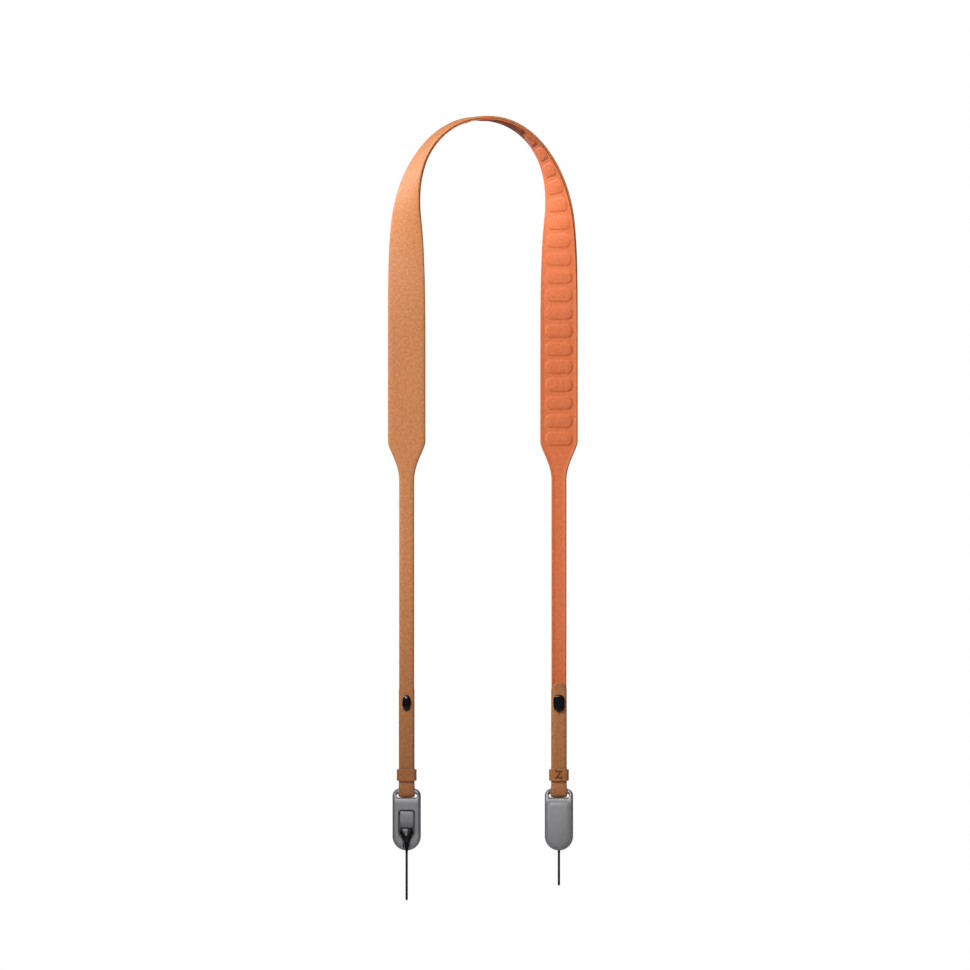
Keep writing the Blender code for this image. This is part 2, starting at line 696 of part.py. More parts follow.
def widened(outline, distance):
    """The outline moved out by this distance, for one that runs anticlockwise."""
    moved_out = []
    for before, here, after in zip(outline[-1:] + outline[:-1], outline, outline[1:] + outline[:1]):
        along = Vector(after) - Vector(before)
        normal = Vector((along.y, -along.x)).normalized()
        moved_out.append((here[0] + normal.x * distance, here[1] + normal.y * distance))
    return moved_out


def pocket_cutter():
    outline = pocket_outline()
    levels = (
        # level, how far the outline is moved out
        (POCKET_FLOOR, 0.0),
        (FRONT_FACE - POCKET_RIM, 0.0),
        (FRONT_FACE + GAP, POCKET_RIM + GAP),
    )
    return loft("pocket", [[(x, y, z) for x, z in widened(outline, out)] for y, out in levels])


def housing_mesh():
    """The housing in its own frame, whose origin is the middle of its top edge."""
    mesh = combined(housing_blank(), slot_cutter(), "DIFFERENCE")
    mesh = combined(mesh, loop_bar(), "UNION")
    mesh = combined(mesh, pocket_cutter(), "DIFFERENCE")
    recess = flat_solid("recess", [plate_outline(0.0)], 2 * PLATE_RECESS)
    return combined(mesh, moved(recess, (0, -FRONT_FACE, 0)), "DIFFERENCE")


def plate_outline(inset):
    """The cover plate's edge, drawn in by this much: cut upper corners and one half circle below."""
    half = HOUSING_WIDTH / 2 - PLATE_BORDER - inset
    top = -SHOULDER_DROP - PLATE_BELOW_SHOULDER - inset
    cut = PLATE_CORNER - inset * (2 - math.sqrt(2))
    corners = [(half, top - cut), (half - cut, top), (cut - half, top), (-half, top - cut)]
    return corners + arc((0.0, HOUSING_WIDTH / 2 - HOUSING_HEIGHT), half, 180, 360, ROUND_END_STEPS)


def back_plate_mesh():
    """A thin cover for the recess in the housing's back, flat in the middle and sloping to its edge."""
    levels = (
        # height above its inner face, how far the outline is drawn in
        (0.0, GAP),
        (PLATE_THICKNESS - PLATE_CROWN, GAP),
        (PLATE_THICKNESS, GAP + PLATE_BAND),
    )
    return loft("back_plate", [[(x, -height, z) for x, z in plate_outline(inset)] for height, inset in levels])


def button_mesh():
    """The button about its own middle, with a ramp down to the anchor on its outer face."""
    half_width, half_height = BUTTON_WIDTH / 2, BUTTON_HEIGHT / 2
    outline = rounded_rectangle(-half_width, half_width, -half_height, half_height, BUTTON_CORNER, 3)
    mesh = bevelled(flat_solid("button", [outline], BUTTON_THICKNESS), BUTTON_EDGE, 1)
    bm = bmesh.new()
    bm.from_mesh(mesh)
    ramp_top = BUTTON_RAMP_HEIGHT - half_height
    everything = list(bm.verts) + list(bm.edges) + list(bm.faces)
    bmesh.ops.bisect_plane(bm, geom=everything, plane_co=(0, 0, ramp_top), plane_no=(0, 0, 1))
    for vertex in bm.verts:
        if vertex.co.y > 0:
            into_ramp = max(0.0, (ramp_top - vertex.co.z) / BUTTON_RAMP_HEIGHT)
            vertex.co.y -= into_ramp * (BUTTON_THICKNESS - BUTTON_NOSE)
    return new_mesh("button", bm)


def anchor_mesh():
    """The anchor: a domed drop that narrows to the tip where the cord comes out, below its upper end."""
    rings = []
    for down, half_x, half_y in ANCHOR_SECTIONS:
        ring = oval_ring(half_x * ANCHOR_WIDTH / 2, half_y * ANCHOR_THICKNESS / 2, 2.0, 14)
        rings.append([(x, y, -down * ANCHOR_LENGTH) for x, y in ring])
    return loft("anchor", rings)


# The cords


def smooth_route(points, count):
    """This many even points on a smooth curve through a route's own points."""
    knots = [2 * points[0] - points[1]] + points + [2 * points[-1] - points[-2]]
    fine = []
    for a, b, c, d in zip(knots, knots[1:], knots[2:], knots[3:]):
        for t in np.linspace(0, 1, 16, endpoint=False):
            square, cube = 2 * a - 5 * b + 4 * c - d, 3 * b - 3 * c + d - a
            fine.append(0.5 * (2 * b + (c - a) * t + square * t ** 2 + cube * t ** 3))
    fine.append(points[-1])
    fine = np.array(fine)
    along = np.concatenate([[0], np.cumsum(np.linalg.norm(np.diff(fine, axis=0), axis=1))])
    even = np.linspace(0, along[-1], count)
    return np.stack([np.interp(even, along, fine[:, k]) for k in range(3)], axis=1)


def cord_loop(name, strand, material, collection, parent):
    """A cord that leaves the anchor's tip, turns back at the bottom and goes in beside itself."""
    tip = HOUSING_TOP - HOUSING_HEIGHT - ANCHOR_TIP_BELOW_HOUSING
    route = strand + tuple((-out, down) for out, down in reversed(strand[:-1]))
    points = [np.array((0.0, ANCHOR_OFFSET + out, tip - down)) for out, down in route]
    curve = bpy.data.curves.new(name, "CURVE")
    curve.dimensions = "3D"
    curve.bevel_depth = CORD_DIAMETER / 2
    curve.bevel_resolution = 2
    curve.use_fill_caps = True
    spline = curve.splines.new("POLY")
    spline.points.add(CORD_POINTS - 1)
    for point, place in zip(spline.points, smooth_route(points, CORD_POINTS)):
        point.co = (*place, 1.0)
    curve.materials.append(material)
    obj = bpy.data.objects.new(name, curve)
    obj.parent = parent
    collection.objects.link(obj)


# The cutters for the stud's holes


def hole_mesh(depth):
    bm = bmesh.new()
    radius = STUD_NECK_WIDTH / 2 + STUD_HOLE_CLEARANCE
    bmesh.ops.create_cone(bm, cap_ends=True, segments=18, radius1=radius, radius2=radius, depth=depth)
    bmesh.ops.rotate(bm, verts=bm.verts, cent=(0, 0, 0), matrix=Matrix.Rotation(math.pi / 2, 3, "X"))
    return new_mesh("stud_hole", bm)


def slit_mesh(depth):
    """Reaches from between the lining and the tail outwards through the tail."""
    bm = bmesh.new()
    bmesh.ops.create_cube(bm, size=1.0)
    inner = LINING_THICKNESS / 2 + GAP / 2
    size = (KEYHOLE_SLIT_WIDTH, depth / 2 - inner, KEYHOLE_SLIT_LENGTH)
    bmesh.ops.scale(bm, verts=bm.verts, vec=size)
    bmesh.ops.translate(bm, verts=bm.verts, vec=(0, -inner - size[1] / 2, -KEYHOLE_SLIT_LENGTH / 2))
    return new_mesh("keyhole_slit", bm)


def stud_cutters(collection, parent, side):
    """A hole through both layers and the lining, and a slit in the tail below it."""
    depth = 4 * STACK_HALF
    cutters = []
    for kind, mesh in (("hole", hole_mesh(depth)), ("slit", slit_mesh(depth))):
        cutter = bpy.data.objects.new(f"{side}_stud_{kind}_cutter", mesh)
        cutter.parent = parent
        cutter.location = (0, 0, STUD_ABOVE_BAR)
        cutter.hide_render = True
        cutter.display_type = "WIRE"
        collection.objects.link(cutter)
        cutters.append(cutter)
    return cutters


def cut_by(obj, cutters):
    for cutter in cutters:
        boolean = obj.modifiers.new(cutter.name, "BOOLEAN")
        boolean.operation = "DIFFERENCE"
        boolean.object = cutter
        boolean.solver = "EXACT"


# The assembly


def place(name, mesh, material, collection, parent=None, location=(0, 0, 0)):
    if not mesh.materials:
        mesh.materials.append(material)
        mesh.shade_smooth()
        mesh.set_sharp_from_angle(angle=math.radians(35))
    obj = bpy.data.objects.new(name, mesh)
    obj.parent = parent
    obj.location = location
    collection.objects.link(obj)
    return obj


def end_frame(name, x, turn, collection):
    empty = bpy.data.objects.new(name, None)
    empty.location = (x, 0, BAR_LEVEL)
    empty.rotation_euler = (0, 0, turn)
    collection.objects.link(empty)
    return empty


def main():
    clear_scene()
    parts = new_collection("camera_neck_strap")
    cutters = new_collection("cutters")
    materials = {name: make_material(name) for name in MATERIALS}

    leather = place("outer_leather", outer_leather_mesh(), materials["tan_leather"], parts)
    lining = place("inner_lining", lining_mesh(), materials["orange_lining"], parts)

    button_middle = FRONT_FACE + BUTTON_PROUD - BUTTON_THICKNESS / 2
    button_height = HOUSING_TOP - BUTTON_TOP_DROP - BUTTON_HEIGHT / 2
    pieces = (
        # name, mesh, material, place in the end frame
        ("keeper", keeper_mesh(), "tan_leather", (0, 0, KEEPER_ABOVE_BAR)),
        ("stud", stud_mesh(), "black_metal", (0, 0, STUD_ABOVE_BAR)),
        ("housing", housing_mesh(), "grey_shell", (0, 0, HOUSING_TOP)),
        ("back_plate", back_plate_mesh(), "grey_shell", (0, PLATE_INNER_FACE, HOUSING_TOP)),
        ("button", button_mesh(), "grey_shell", (0, button_middle, button_height)),
        ("anchor", anchor_mesh(), "black_rubber", (0, ANCHOR_OFFSET, HOUSING_TOP - ANCHOR_TOP_DROP)),
    )
    ends = (
        # side, place across, turn, strand of its cord
        ("left", -LEG_OFFSET, math.pi, LEFT_CORD_STRAND),
        ("right", LEG_OFFSET, 0.0, RIGHT_CORD_STRAND),
    )
    for side, x, turn, strand in ends:
        frame = end_frame(f"{side}_end", x, turn, parts)
        for name, mesh, material, location in pieces:
            place(f"{side}_{name}", mesh, materials[material], parts, frame, location)
        cord_loop(f"{side}_cord_loop", strand, materials["black_cord"], parts, frame)
        hole, slit = stud_cutters(cutters, frame, side)
        cut_by(leather, (hole, slit))
        cut_by(lining, (hole,))


main()
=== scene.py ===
# %% [markdown]
# # A leather camera neck strap
#
# This script dresses the plain solids of a hanging camera strap: a long strip of tan leather with a
# padded orange lining, and at each end a leather keeper, a black stud and a grey quick release that
# holds a thin black cord. The solids come first, as a fixed frame. Every piece below is built where its
# solid lies, and then takes that solid's place in the picture.

import math

import bmesh
import bpy
import numpy as np
from mathutils import Matrix, Vector
from mathutils.geometry import delaunay_2d_cdt


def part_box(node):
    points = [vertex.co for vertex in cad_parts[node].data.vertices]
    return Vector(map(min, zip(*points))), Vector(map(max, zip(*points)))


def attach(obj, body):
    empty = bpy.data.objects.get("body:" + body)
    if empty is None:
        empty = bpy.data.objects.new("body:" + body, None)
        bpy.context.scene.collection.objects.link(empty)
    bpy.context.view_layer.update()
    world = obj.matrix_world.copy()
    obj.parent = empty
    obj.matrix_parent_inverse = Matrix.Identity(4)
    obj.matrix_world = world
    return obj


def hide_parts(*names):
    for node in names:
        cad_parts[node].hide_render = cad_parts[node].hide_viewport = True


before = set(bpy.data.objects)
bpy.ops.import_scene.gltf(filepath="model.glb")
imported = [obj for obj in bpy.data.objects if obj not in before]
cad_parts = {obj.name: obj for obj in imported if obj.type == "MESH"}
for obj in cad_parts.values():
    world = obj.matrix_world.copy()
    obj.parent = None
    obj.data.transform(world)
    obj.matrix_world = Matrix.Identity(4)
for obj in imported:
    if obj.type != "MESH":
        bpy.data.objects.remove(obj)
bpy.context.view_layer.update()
STRAP = "strap"
MM = 0.001

# %% [markdown]
# ## The camera
#
# The strap was seen square on from far away, so nothing in the picture leans or narrows. A long lens at
# a large distance gives that. The picture is square, and its width is set by what one pixel measures.

# %% Camera
scene = bpy.context.scene
IMAGE_SIZE = 970                       # pixels each way
PIXEL = 0.8 * MM                       # what one pixel measures at the strap
ORIGIN_PIXEL = Vector((482.8, 121.0))  # where the frame's origin shows in the picture
LENS = 400 * MM
SENSOR = 36 * MM

camera_data = bpy.data.cameras.new("camera")
camera_data.lens = LENS / MM
camera_data.sensor_width = SENSOR / MM
camera_data.clip_end = 60
camera = bpy.data.objects.new("camera", camera_data)
scene.collection.objects.link(camera)
distance = IMAGE_SIZE * PIXEL * LENS / SENSOR
centre = (Vector((IMAGE_SIZE, IMAGE_SIZE)) / 2 - ORIGIN_PIXEL) * PIXEL
camera.location = (centre.x, -distance, -centre.y)
camera.rotation_euler = (math.pi / 2, 0, 0)
scene.camera = camera
print(f"the camera is {distance:.2f} m away")

# %% [markdown]
# ## How the strap hangs
#
# The wide part goes over the top in an arch and down two straight legs, and it turns a quarter turn on
# the way down each leg. So one leg shows its outer face and the other its padded inner face. The arch is
# a superellipse: a formula is easier to keep smooth than a row of points.

# %% Sizes of the strap
LEG_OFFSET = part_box("right_housing")[0].lerp(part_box("right_housing")[1], 0.5).x
ARCH_RISE = 84.1 * MM
ARCH_POWER = 2.15
TWIST_LENGTH = 200 * MM
TWIST = (
    # millimetres from the top, share of the quarter turn
    (0, 0.0), (20, 0.062), (40, 0.120), (60, 0.193), (80, 0.312), (100, 0.463),
    (120, 0.632), (140, 0.770), (160, 0.866), (180, 0.936), (200, 0.985), (225, 1.0),
)
HALF_WIDE_LENGTH = 290.6 * MM
TAPER_LENGTH = 30.4 * MM
NARROW_LENGTH = 250.1 * MM
HALF_LENGTH = HALF_WIDE_LENGTH + TAPER_LENGTH + NARROW_LENGTH
WIDE_WIDTH = 30 * MM
NARROW_WIDTH = 12 * MM
LOOP_FLARE = 1.0 * MM
TAPER_SKEW = 0.75
LEATHER = 1.5 * MM
LINING = 1.0 * MM
PAD_HEIGHT = 1.1 * MM
JOIN = 0.1 * MM                        # dark glue line between leather and lining
REFERENCE_TOP = LINING / 2 + PAD_HEIGHT
LEATHER_OFFSET = LINING / 2 + JOIN + LEATHER / 2
STACK_HALF = LEATHER_OFFSET + LEATHER / 2
KEEPER_ABOVE_BAR = 14.3 * MM
KEEPER_HEIGHT = 10.2 * MM
TAIL_LENGTH = 88.1 * MM
TAIL_TIP = 6.2 * MM
BAR_THICKNESS = 4.0 * MM
BAR_HEIGHT = 5.4 * MM

HOUSING_TOP_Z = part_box("right_housing")[1].z
BAR_LEVEL = HOUSING_TOP_Z - BAR_HEIGHT + BAR_THICKNESS / 2
STUD_ABOVE_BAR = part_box("right_stud")[0].lerp(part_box("right_stud")[1], 0.5).z - BAR_LEVEL
print(f"legs at {LEG_OFFSET / MM:.1f} mm, bar at {BAR_LEVEL / MM:.1f} mm, half strap {HALF_LENGTH / MM:.0f} mm")

# %% The strap's line
turn = np.linspace(0, math.pi / 2, 2001)
ARCH_OUT = LEG_OFFSET * np.sin(turn) ** (2 / ARCH_POWER)
ARCH_DOWN = ARCH_RISE * (1 - np.clip(np.cos(turn), 0, 1) ** (2 / ARCH_POWER))
ARCH_ALONG = np.concatenate([[0], np.cumsum(np.hypot(np.diff(ARCH_OUT), np.diff(ARCH_DOWN)))])


def smooth(share):
    share = np.clip(share, 0.0, 1.0)
    return share * share * (3 - 2 * share)


def twist_shares(along):
    """The share of the quarter turn at these distances. The table's steps are smoothed over 12 mm."""
    grid = np.arange(-300.0, 301.0)
    steps = np.copysign(np.interp(np.abs(grid), *zip(*TWIST)), grid)
    window = np.hanning(13)
    even = np.convolve(steps, window / window.sum(), "same")
    return np.interp(along / MM, grid[10:-10], even[10:-10])


def strap_points(along):
    """Middles of the lining at these distances from the top, negative towards the left leg."""
    length = np.abs(along)
    out = np.interp(length, ARCH_ALONG, ARCH_OUT)
    down = np.interp(length, ARCH_ALONG, ARCH_DOWN) + np.maximum(0, length - ARCH_ALONG[-1])
    return np.stack([np.copysign(out, along), 0 * out, REFERENCE_TOP - down], axis=1)


def strap_frames(along):
    """Points, directions across and outward normals of the strap at these distances."""
    reach = 1.5 * MM
    forward = strap_points(along + reach) - strap_points(along - reach)
    forward /= np.linalg.norm(forward, axis=1, keepdims=True)
    outward = np.stack([-forward[:, 2], 0 * along, forward[:, 0]], axis=1)
    turn = math.pi / 2 * twist_shares(along)[:, None]
    across = np.array([[0.0, -1.0, 0.0]]) * np.cos(turn) + outward * np.sin(turn)
    return strap_points(along), across, np.cross(across, forward)


def strap_widths(along):
    share = np.clip((np.abs(along) - HALF_WIDE_LENGTH) / TAPER_LENGTH, 0, 1) ** TAPER_SKEW
    return NARROW_WIDTH + (WIDE_WIDTH - NARROW_WIDTH) * (1 - smooth(share))


print(f"the arch is {ARCH_ALONG[-1] / MM:.1f} mm long on each side")

# %% [markdown]
# ## Small helpers
#
# Colours are written as the hex values that a paint program shows, and one function turns them into
# the linear values that Blender's shaders work with. Another adds one node to a tree, with its settings
# and links. A third makes a closed skin from rings of points, and a fourth puts a finished piece on its
# body in place of its solid. The rest are small steps that several pieces share.

# %% Helpers


def colour(hexadecimal):
    """A linear colour from an sRGB hex value such as c68150."""
    values = [int(hexadecimal[i:i + 2], 16) / 255 for i in (0, 2, 4)]
    linear = [v / 12.92 if v <= 0.04045 else ((v + 0.055) / 1.055) ** 2.4 for v in values]
    return (*linear, 1.0)


def add(tree, kind, inputs=None, **settings):
    """Adds a node. A value given for an input may be a number, a socket, or a node whose first output it takes."""
    node = tree.nodes.new(kind)
    for name, value in settings.items():
        setattr(node, name, value)
    for key, value in (inputs or {}).items():
        if isinstance(value, bpy.types.Node):
            value = value.outputs[0]
        if isinstance(value, bpy.types.NodeSocket):
            tree.links.new(value, node.inputs[key])
        else:
            node.inputs[key].default_value = value
    return node


def maths(tree, operation, *values):
    return add(tree, "ShaderNodeMath", dict(enumerate(values)), operation=operation)


def modifier_tree(name, inputs):
    """A new modifier tree that is given a geometry and these inputs, by name and kind, and its given sockets."""
    tree = bpy.data.node_groups.new(name, "GeometryNodeTree")
    tree.is_modifier = True
    for socket, kind in [("Geometry", "Geometry")] + inputs:
        tree.interface.new_socket(socket, in_out="INPUT", socket_type=f"NodeSocket{kind}")
    tree.interface.new_socket("Geometry", in_out="OUTPUT", socket_type="NodeSocketGeometry")
    return tree, tree.nodes.new("NodeGroupInput").outputs


def new_mesh(name, points, faces):
    mesh = bpy.data.meshes.new(name)
    mesh.from_pydata([tuple(p) for p in points], [], faces)
    mesh.update()
    return mesh


def skin(name, rings, ends=True):
    """A mesh through rings of as many points each, an array of rings by points by three."""
    rings = np.asarray(rings, float)
    count, around = rings.shape[:2]
    i, j = np.meshgrid(np.arange(count - 1), np.arange(around), indexing="ij")
    k = (j + 1) % around
    quads = np.stack([i * around + j, i * around + k, (i + 1) * around + k, (i + 1) * around + j], axis=-1)
    faces = quads.reshape(-1, 4).tolist()
    if ends:
        faces += [list(range(around))[::-1], list(range((count - 1) * around, count * around))]
    return new_mesh(name, rings.reshape(-1, 3), faces)


def finished(bm, name):
    """A mesh of what this bmesh holds. The bmesh is freed."""
    mesh = bpy.data.meshes.new(name)
    bm.to_mesh(mesh)
    bm.free()
    return mesh


def outwards(mesh, weld=None):
    """The mesh with its faces turned outwards, after points that lie this close are joined."""
    bm = bmesh.new()
    bm.from_mesh(mesh)
    if weld:
        bmesh.ops.remove_doubles(bm, verts=bm.verts, dist=weld)
    bmesh.ops.recalc_face_normals(bm, faces=bm.faces)
    bm.to_mesh(mesh)
    bm.free()
    return mesh


def add_piece(name, mesh, materials, body, nodes, sharp=35):
    """A finished piece at the origin, which rides on a body and stands for these nodes."""
    mesh.shade_smooth()
    mesh.set_sharp_from_angle(angle=math.radians(sharp))
    mesh.materials.clear()
    for material in materials:
        mesh.materials.append(material)
    piece = bpy.data.objects.new(name, mesh)
    scene.collection.objects.link(piece)
    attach(piece, body)
    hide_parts(*nodes)
    print(f"{name}: {len(mesh.polygons)} faces")
    return piece


def evaluated(obj):
    """A plain mesh of what this object's modifiers make. The object is removed."""
    bpy.context.view_layer.update()
    graph = bpy.context.evaluated_depsgraph_get()
    mesh = bpy.data.meshes.new_from_object(obj.evaluated_get(graph), preserve_all_data_layers=True, depsgraph=graph)
    bpy.data.objects.remove(obj)
    return mesh


def scratch(mesh, name="scratch"):
    obj = bpy.data.objects.new(name, mesh)
    scene.collection.objects.link(obj)
    return obj


print("helpers are ready")

# %% [markdown]
# ## The lug cords
#
# Each quick release holds a loop of thin black cord that goes round a camera's strap lug. A real lug cord
# is braided from waxed threads. Geometry Nodes follow its line here: they sweep a circle along it, and
# two sets of threads that wind opposite ways are pressed into its surface. The line itself leaves the
# anchor straight down, opens into a narrow drop and comes back beside itself.

# %% Lines of the two cords
CORD_DIAMETER = 1.9 * MM
CORD_POINTS = 34
BRAID = {"Radius": CORD_DIAMETER / 2, "Thread depth": 0.06 * MM, "Threads": 8.0, "Turn length": 0.9 * MM}
ANCHOR_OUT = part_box("right_anchor")[0].lerp(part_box("right_anchor")[1], 0.5).y
ANCHOR_TIP_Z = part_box("right_anchor")[0].z
LEFT_STRAND = (
    # out, down
    (0.00110, 0.0003), (0.00110, 0.0030), (0.00122, 0.0060), (0.00152, 0.0098), (0.00200, 0.0140),
    (0.00260, 0.0184), (0.00325, 0.0228), (0.00383, 0.0272), (0.00415, 0.0310), (0.00408, 0.0338),
    (0.00340, 0.0360), (0.00200, 0.03745), (0.00000, 0.0380),
)
RIGHT_STRAND = (
    # out, down
    (0.00110, 0.0003), (0.00112, 0.0025), (0.00134, 0.0050), (0.00188, 0.0084), (0.00262, 0.0118),
    (0.00336, 0.0152), (0.00392, 0.0184), (0.00412, 0.0210), (0.00385, 0.0232), (0.00300, 0.0249),
    (0.00160, 0.0259), (0.00000, 0.0262),
)


def smooth_route(points, count):
    """This many even points on a smooth curve through a route's own points."""
    knots = [2 * points[0] - points[1]] + points + [2 * points[-1] - points[-2]]
    fine = []
    for a, b, c, d in zip(knots, knots[1:], knots[2:], knots[3:]):
        for t in np.linspace(0, 1, 16, endpoint=False):
            square, cube = 2 * a - 5 * b + 4 * c - d, 3 * b - 3 * c + d - a
            fine.append(0.5 * (2 * b + (c - a) * t + square * t ** 2 + cube * t ** 3))
    fine = np.array(fine + [points[-1]])
    along = np.concatenate([[0], np.cumsum(np.linalg.norm(np.diff(fine, axis=0), axis=1))])
    even = np.linspace(0, along[-1], count)
    return np.stack([np.interp(even, along, fine[:, k]) for k in range(3)], axis=1)


def cord_line(strand, side):
    """The cord's points in the frame. The left end is the right one turned half way round."""
    route = strand + tuple((-out, down) for out, down in reversed(strand[:-1]))
    points = [np.array((LEG_OFFSET, ANCHOR_OUT + out, ANCHOR_TIP_Z - down)) for out, down in route]
    line = smooth_route(points, CORD_POINTS)
    return line * (side, side, 1)


def line_length(line):
    return float(np.linalg.norm(np.diff(line, axis=0), axis=1).sum())


ENDS = {
    # side: which way it faces, strand
    "left": (-1, LEFT_STRAND),
    "right": (1, RIGHT_STRAND),
}
for side, (facing, strand) in ENDS.items():
    print(side, f"cord {line_length(cord_line(strand, facing)) / MM:.1f} mm")

# %% A tree that braids a cord along a curve


def cord_tree():
    tree, given = modifier_tree("braided_cord", [(name, "Float") for name in BRAID] + [("Material", "Material")])
    line = add(tree, "GeometryNodeResampleCurve", {"Curve": given["Geometry"], "Length": 0.22 * MM}, mode="LENGTH")
    circle = add(tree, "GeometryNodeCurvePrimitiveCircle", {"Resolution": 20, "Radius": given["Radius"]})
    along = add(tree, "GeometryNodeCaptureAttribute", {"Geometry": line})
    along.capture_items.new("FLOAT", "along")
    tree.links.new(add(tree, "GeometryNodeSplineParameter").outputs["Length"], along.inputs[1])
    round_it = add(tree, "GeometryNodeCaptureAttribute", {"Geometry": circle})
    round_it.capture_items.new("FLOAT", "around")
    tree.links.new(add(tree, "GeometryNodeSplineParameter").outputs["Factor"], round_it.inputs[1])
    tube = add(tree, "GeometryNodeCurveToMesh",
               {"Curve": along.outputs[0], "Profile Curve": round_it.outputs[0], "Fill Caps": True})

    # Two sets of threads cross, and the braid stands up where one thread lies over the other.
    turns = maths(tree, "DIVIDE", along.outputs[1], given["Turn length"])
    rounds = maths(tree, "MULTIPLY", round_it.outputs[1], given["Threads"])
    waves = []
    for way in ("ADD", "SUBTRACT"):
        phase = maths(tree, way, turns, rounds)
        angle = maths(tree, "MULTIPLY", phase, math.pi)
        sine = maths(tree, "SINE", angle)
        waves.append(maths(tree, "ABSOLUTE", sine))
    crossed = maths(tree, "MULTIPLY", waves[0], waves[1])
    sunk = maths(tree, "SUBTRACT", crossed, 1.0)
    depth = maths(tree, "MULTIPLY", sunk, given["Thread depth"])
    offset = add(tree, "ShaderNodeVectorMath",
                 {0: add(tree, "GeometryNodeInputNormal"), "Scale": depth}, operation="SCALE")
    pressed = add(tree, "GeometryNodeSetPosition", {"Geometry": tube, "Offset": offset})
    real = add(tree, "GeometryNodeRealizeInstances", {"Geometry": pressed})
    dressed = add(tree, "GeometryNodeSetMaterial", {"Geometry": real, "Material": given["Material"]})
    add(tree, "NodeGroupOutput", {"Geometry": dressed})
    return tree


def set_input(modifier, name, value):
    """Sets a named input of a Geometry Nodes modifier by its socket's identifier."""
    for item in modifier.node_group.interface.items_tree:
        if item.item_type == "SOCKET" and item.in_out == "INPUT" and item.name == name:
            modifier[item.identifier] = value


CORD_TREE = cord_tree()
print("the cord tree has", len(CORD_TREE.nodes), "nodes")

# %% [markdown]
# ## Materials
#
# Each finish starts from what it is on the real strap. Leather is a smooth skin with a fine grain and a
# slightly uneven dye. The lining is a softer, matte leather. The quick releases are blasted metal with a
# matte grey coat, the studs are polished and plated black, and the anchors and cords are black too but
# dull. Patterns on the strap read its own UV map, in metres across and along, so the grain follows the
# strap round its turns. On the hard pieces they read the piece's own coordinates.

# %% Leather materials


def new_material(name):
    material = bpy.data.materials.new(name)
    material.use_nodes = True
    return material, material.node_tree, material.node_tree.nodes["Principled BSDF"]


def leather_material(name, dark, light, grain, grain_depth, mottle, roughness, sheen=0.0, use_uv=True):
    """Dyed leather. grain and mottle are the sizes of its creases and of its dye spots, in metres."""
    material, tree, shader = new_material(name)
    place = add(tree, "ShaderNodeTexCoord").outputs["UV" if use_uv else "Object"]
    spots = add(tree, "ShaderNodeTexNoise",
                {"Vector": place, "Scale": 1 / mottle, "Detail": 5.0, "Roughness": 0.62})
    pores = add(tree, "ShaderNodeTexNoise",
                {"Vector": place, "Scale": 1 / grain, "Detail": 3.0, "Roughness": 0.55})
    blend = add(tree, "ShaderNodeMix", {"Factor": 0.35, "A": spots.outputs["Fac"], "B": pores.outputs["Fac"]})
    ramp = add(tree, "ShaderNodeValToRGB", {"Fac": blend})
    ramp.color_ramp.elements[0].position = 0.36
    ramp.color_ramp.elements[0].color = colour(dark)
    ramp.color_ramp.elements[1].position = 0.64
    ramp.color_ramp.elements[1].color = colour(light)
    creases = add(tree, "ShaderNodeTexVoronoi", {"Vector": place, "Scale": 0.8 / grain}, feature="DISTANCE_TO_EDGE")
    valley = add(tree, "ShaderNodeMapRange", {"Value": creases.outputs["Distance"], "From Max": 0.16})
    height = maths(tree, "ADD", valley.outputs[0], pores.outputs["Fac"])
    bump = add(tree, "ShaderNodeBump", {"Height": height, "Distance": grain_depth, "Strength": 0.4})
    gloss = add(tree, "ShaderNodeMapRange",
                {"Value": spots.outputs["Fac"], "To Min": roughness - 0.06, "To Max": roughness + 0.06})
    tree.links.new(ramp.outputs["Color"], shader.inputs["Base Color"])
    tree.links.new(gloss.outputs[0], shader.inputs["Roughness"])
    tree.links.new(bump.outputs["Normal"], shader.inputs["Normal"])
    shader.inputs["Sheen Weight"].default_value = sheen
    shader.inputs["Specular IOR Level"].default_value = 0.35
    return material


# Full-grain calf, drum dyed and waxed: a grain of 0.6 mm, drawn a little coarser than real so that it
# shows, and soft darker and lighter clouds.
TAN = leather_material("tan_full_grain_leather", "a8673a", "cb8550", 0.6 * MM, 0.07 * MM, 2.2 * MM, 0.56)
# The cut edge of the same leather, burnished and waxed: dark brown and smoother. Its brown is also made darker than
# the burnish alone, as painted shade along every edge.
BURNISH_AND_SHADE = leather_material("waxed_leather_edge", "50260f", "6c3519", 0.4 * MM, 0.05 * MM, 3 * MM, 0.45)
# Soft nappa lining: a flatter grain and a dry, slightly velvety surface.
LINING_SKIN = leather_material("orange_nappa_lining", "c76031", "d87544", 0.5 * MM, 0.05 * MM, 2.4 * MM, 0.68, 0.05)
# The keepers are cut from the same tan hide.
KEEPER_SKIN = leather_material("tan_keeper_leather", "a8673a", "c8814e", 0.5 * MM, 0.07 * MM, 2.2 * MM, 0.55,
                               use_uv=False)
print("leather materials:", TAN.name, BURNISH_AND_SHADE.name, LINING_SKIN.name, KEEPER_SKIN.name)

# %% Metal, rubber and cord materials
COAT_GRIT = 0.25 * MM
COAT_CLOUDS = 6 * MM
COAT_METALLIC = 0.8


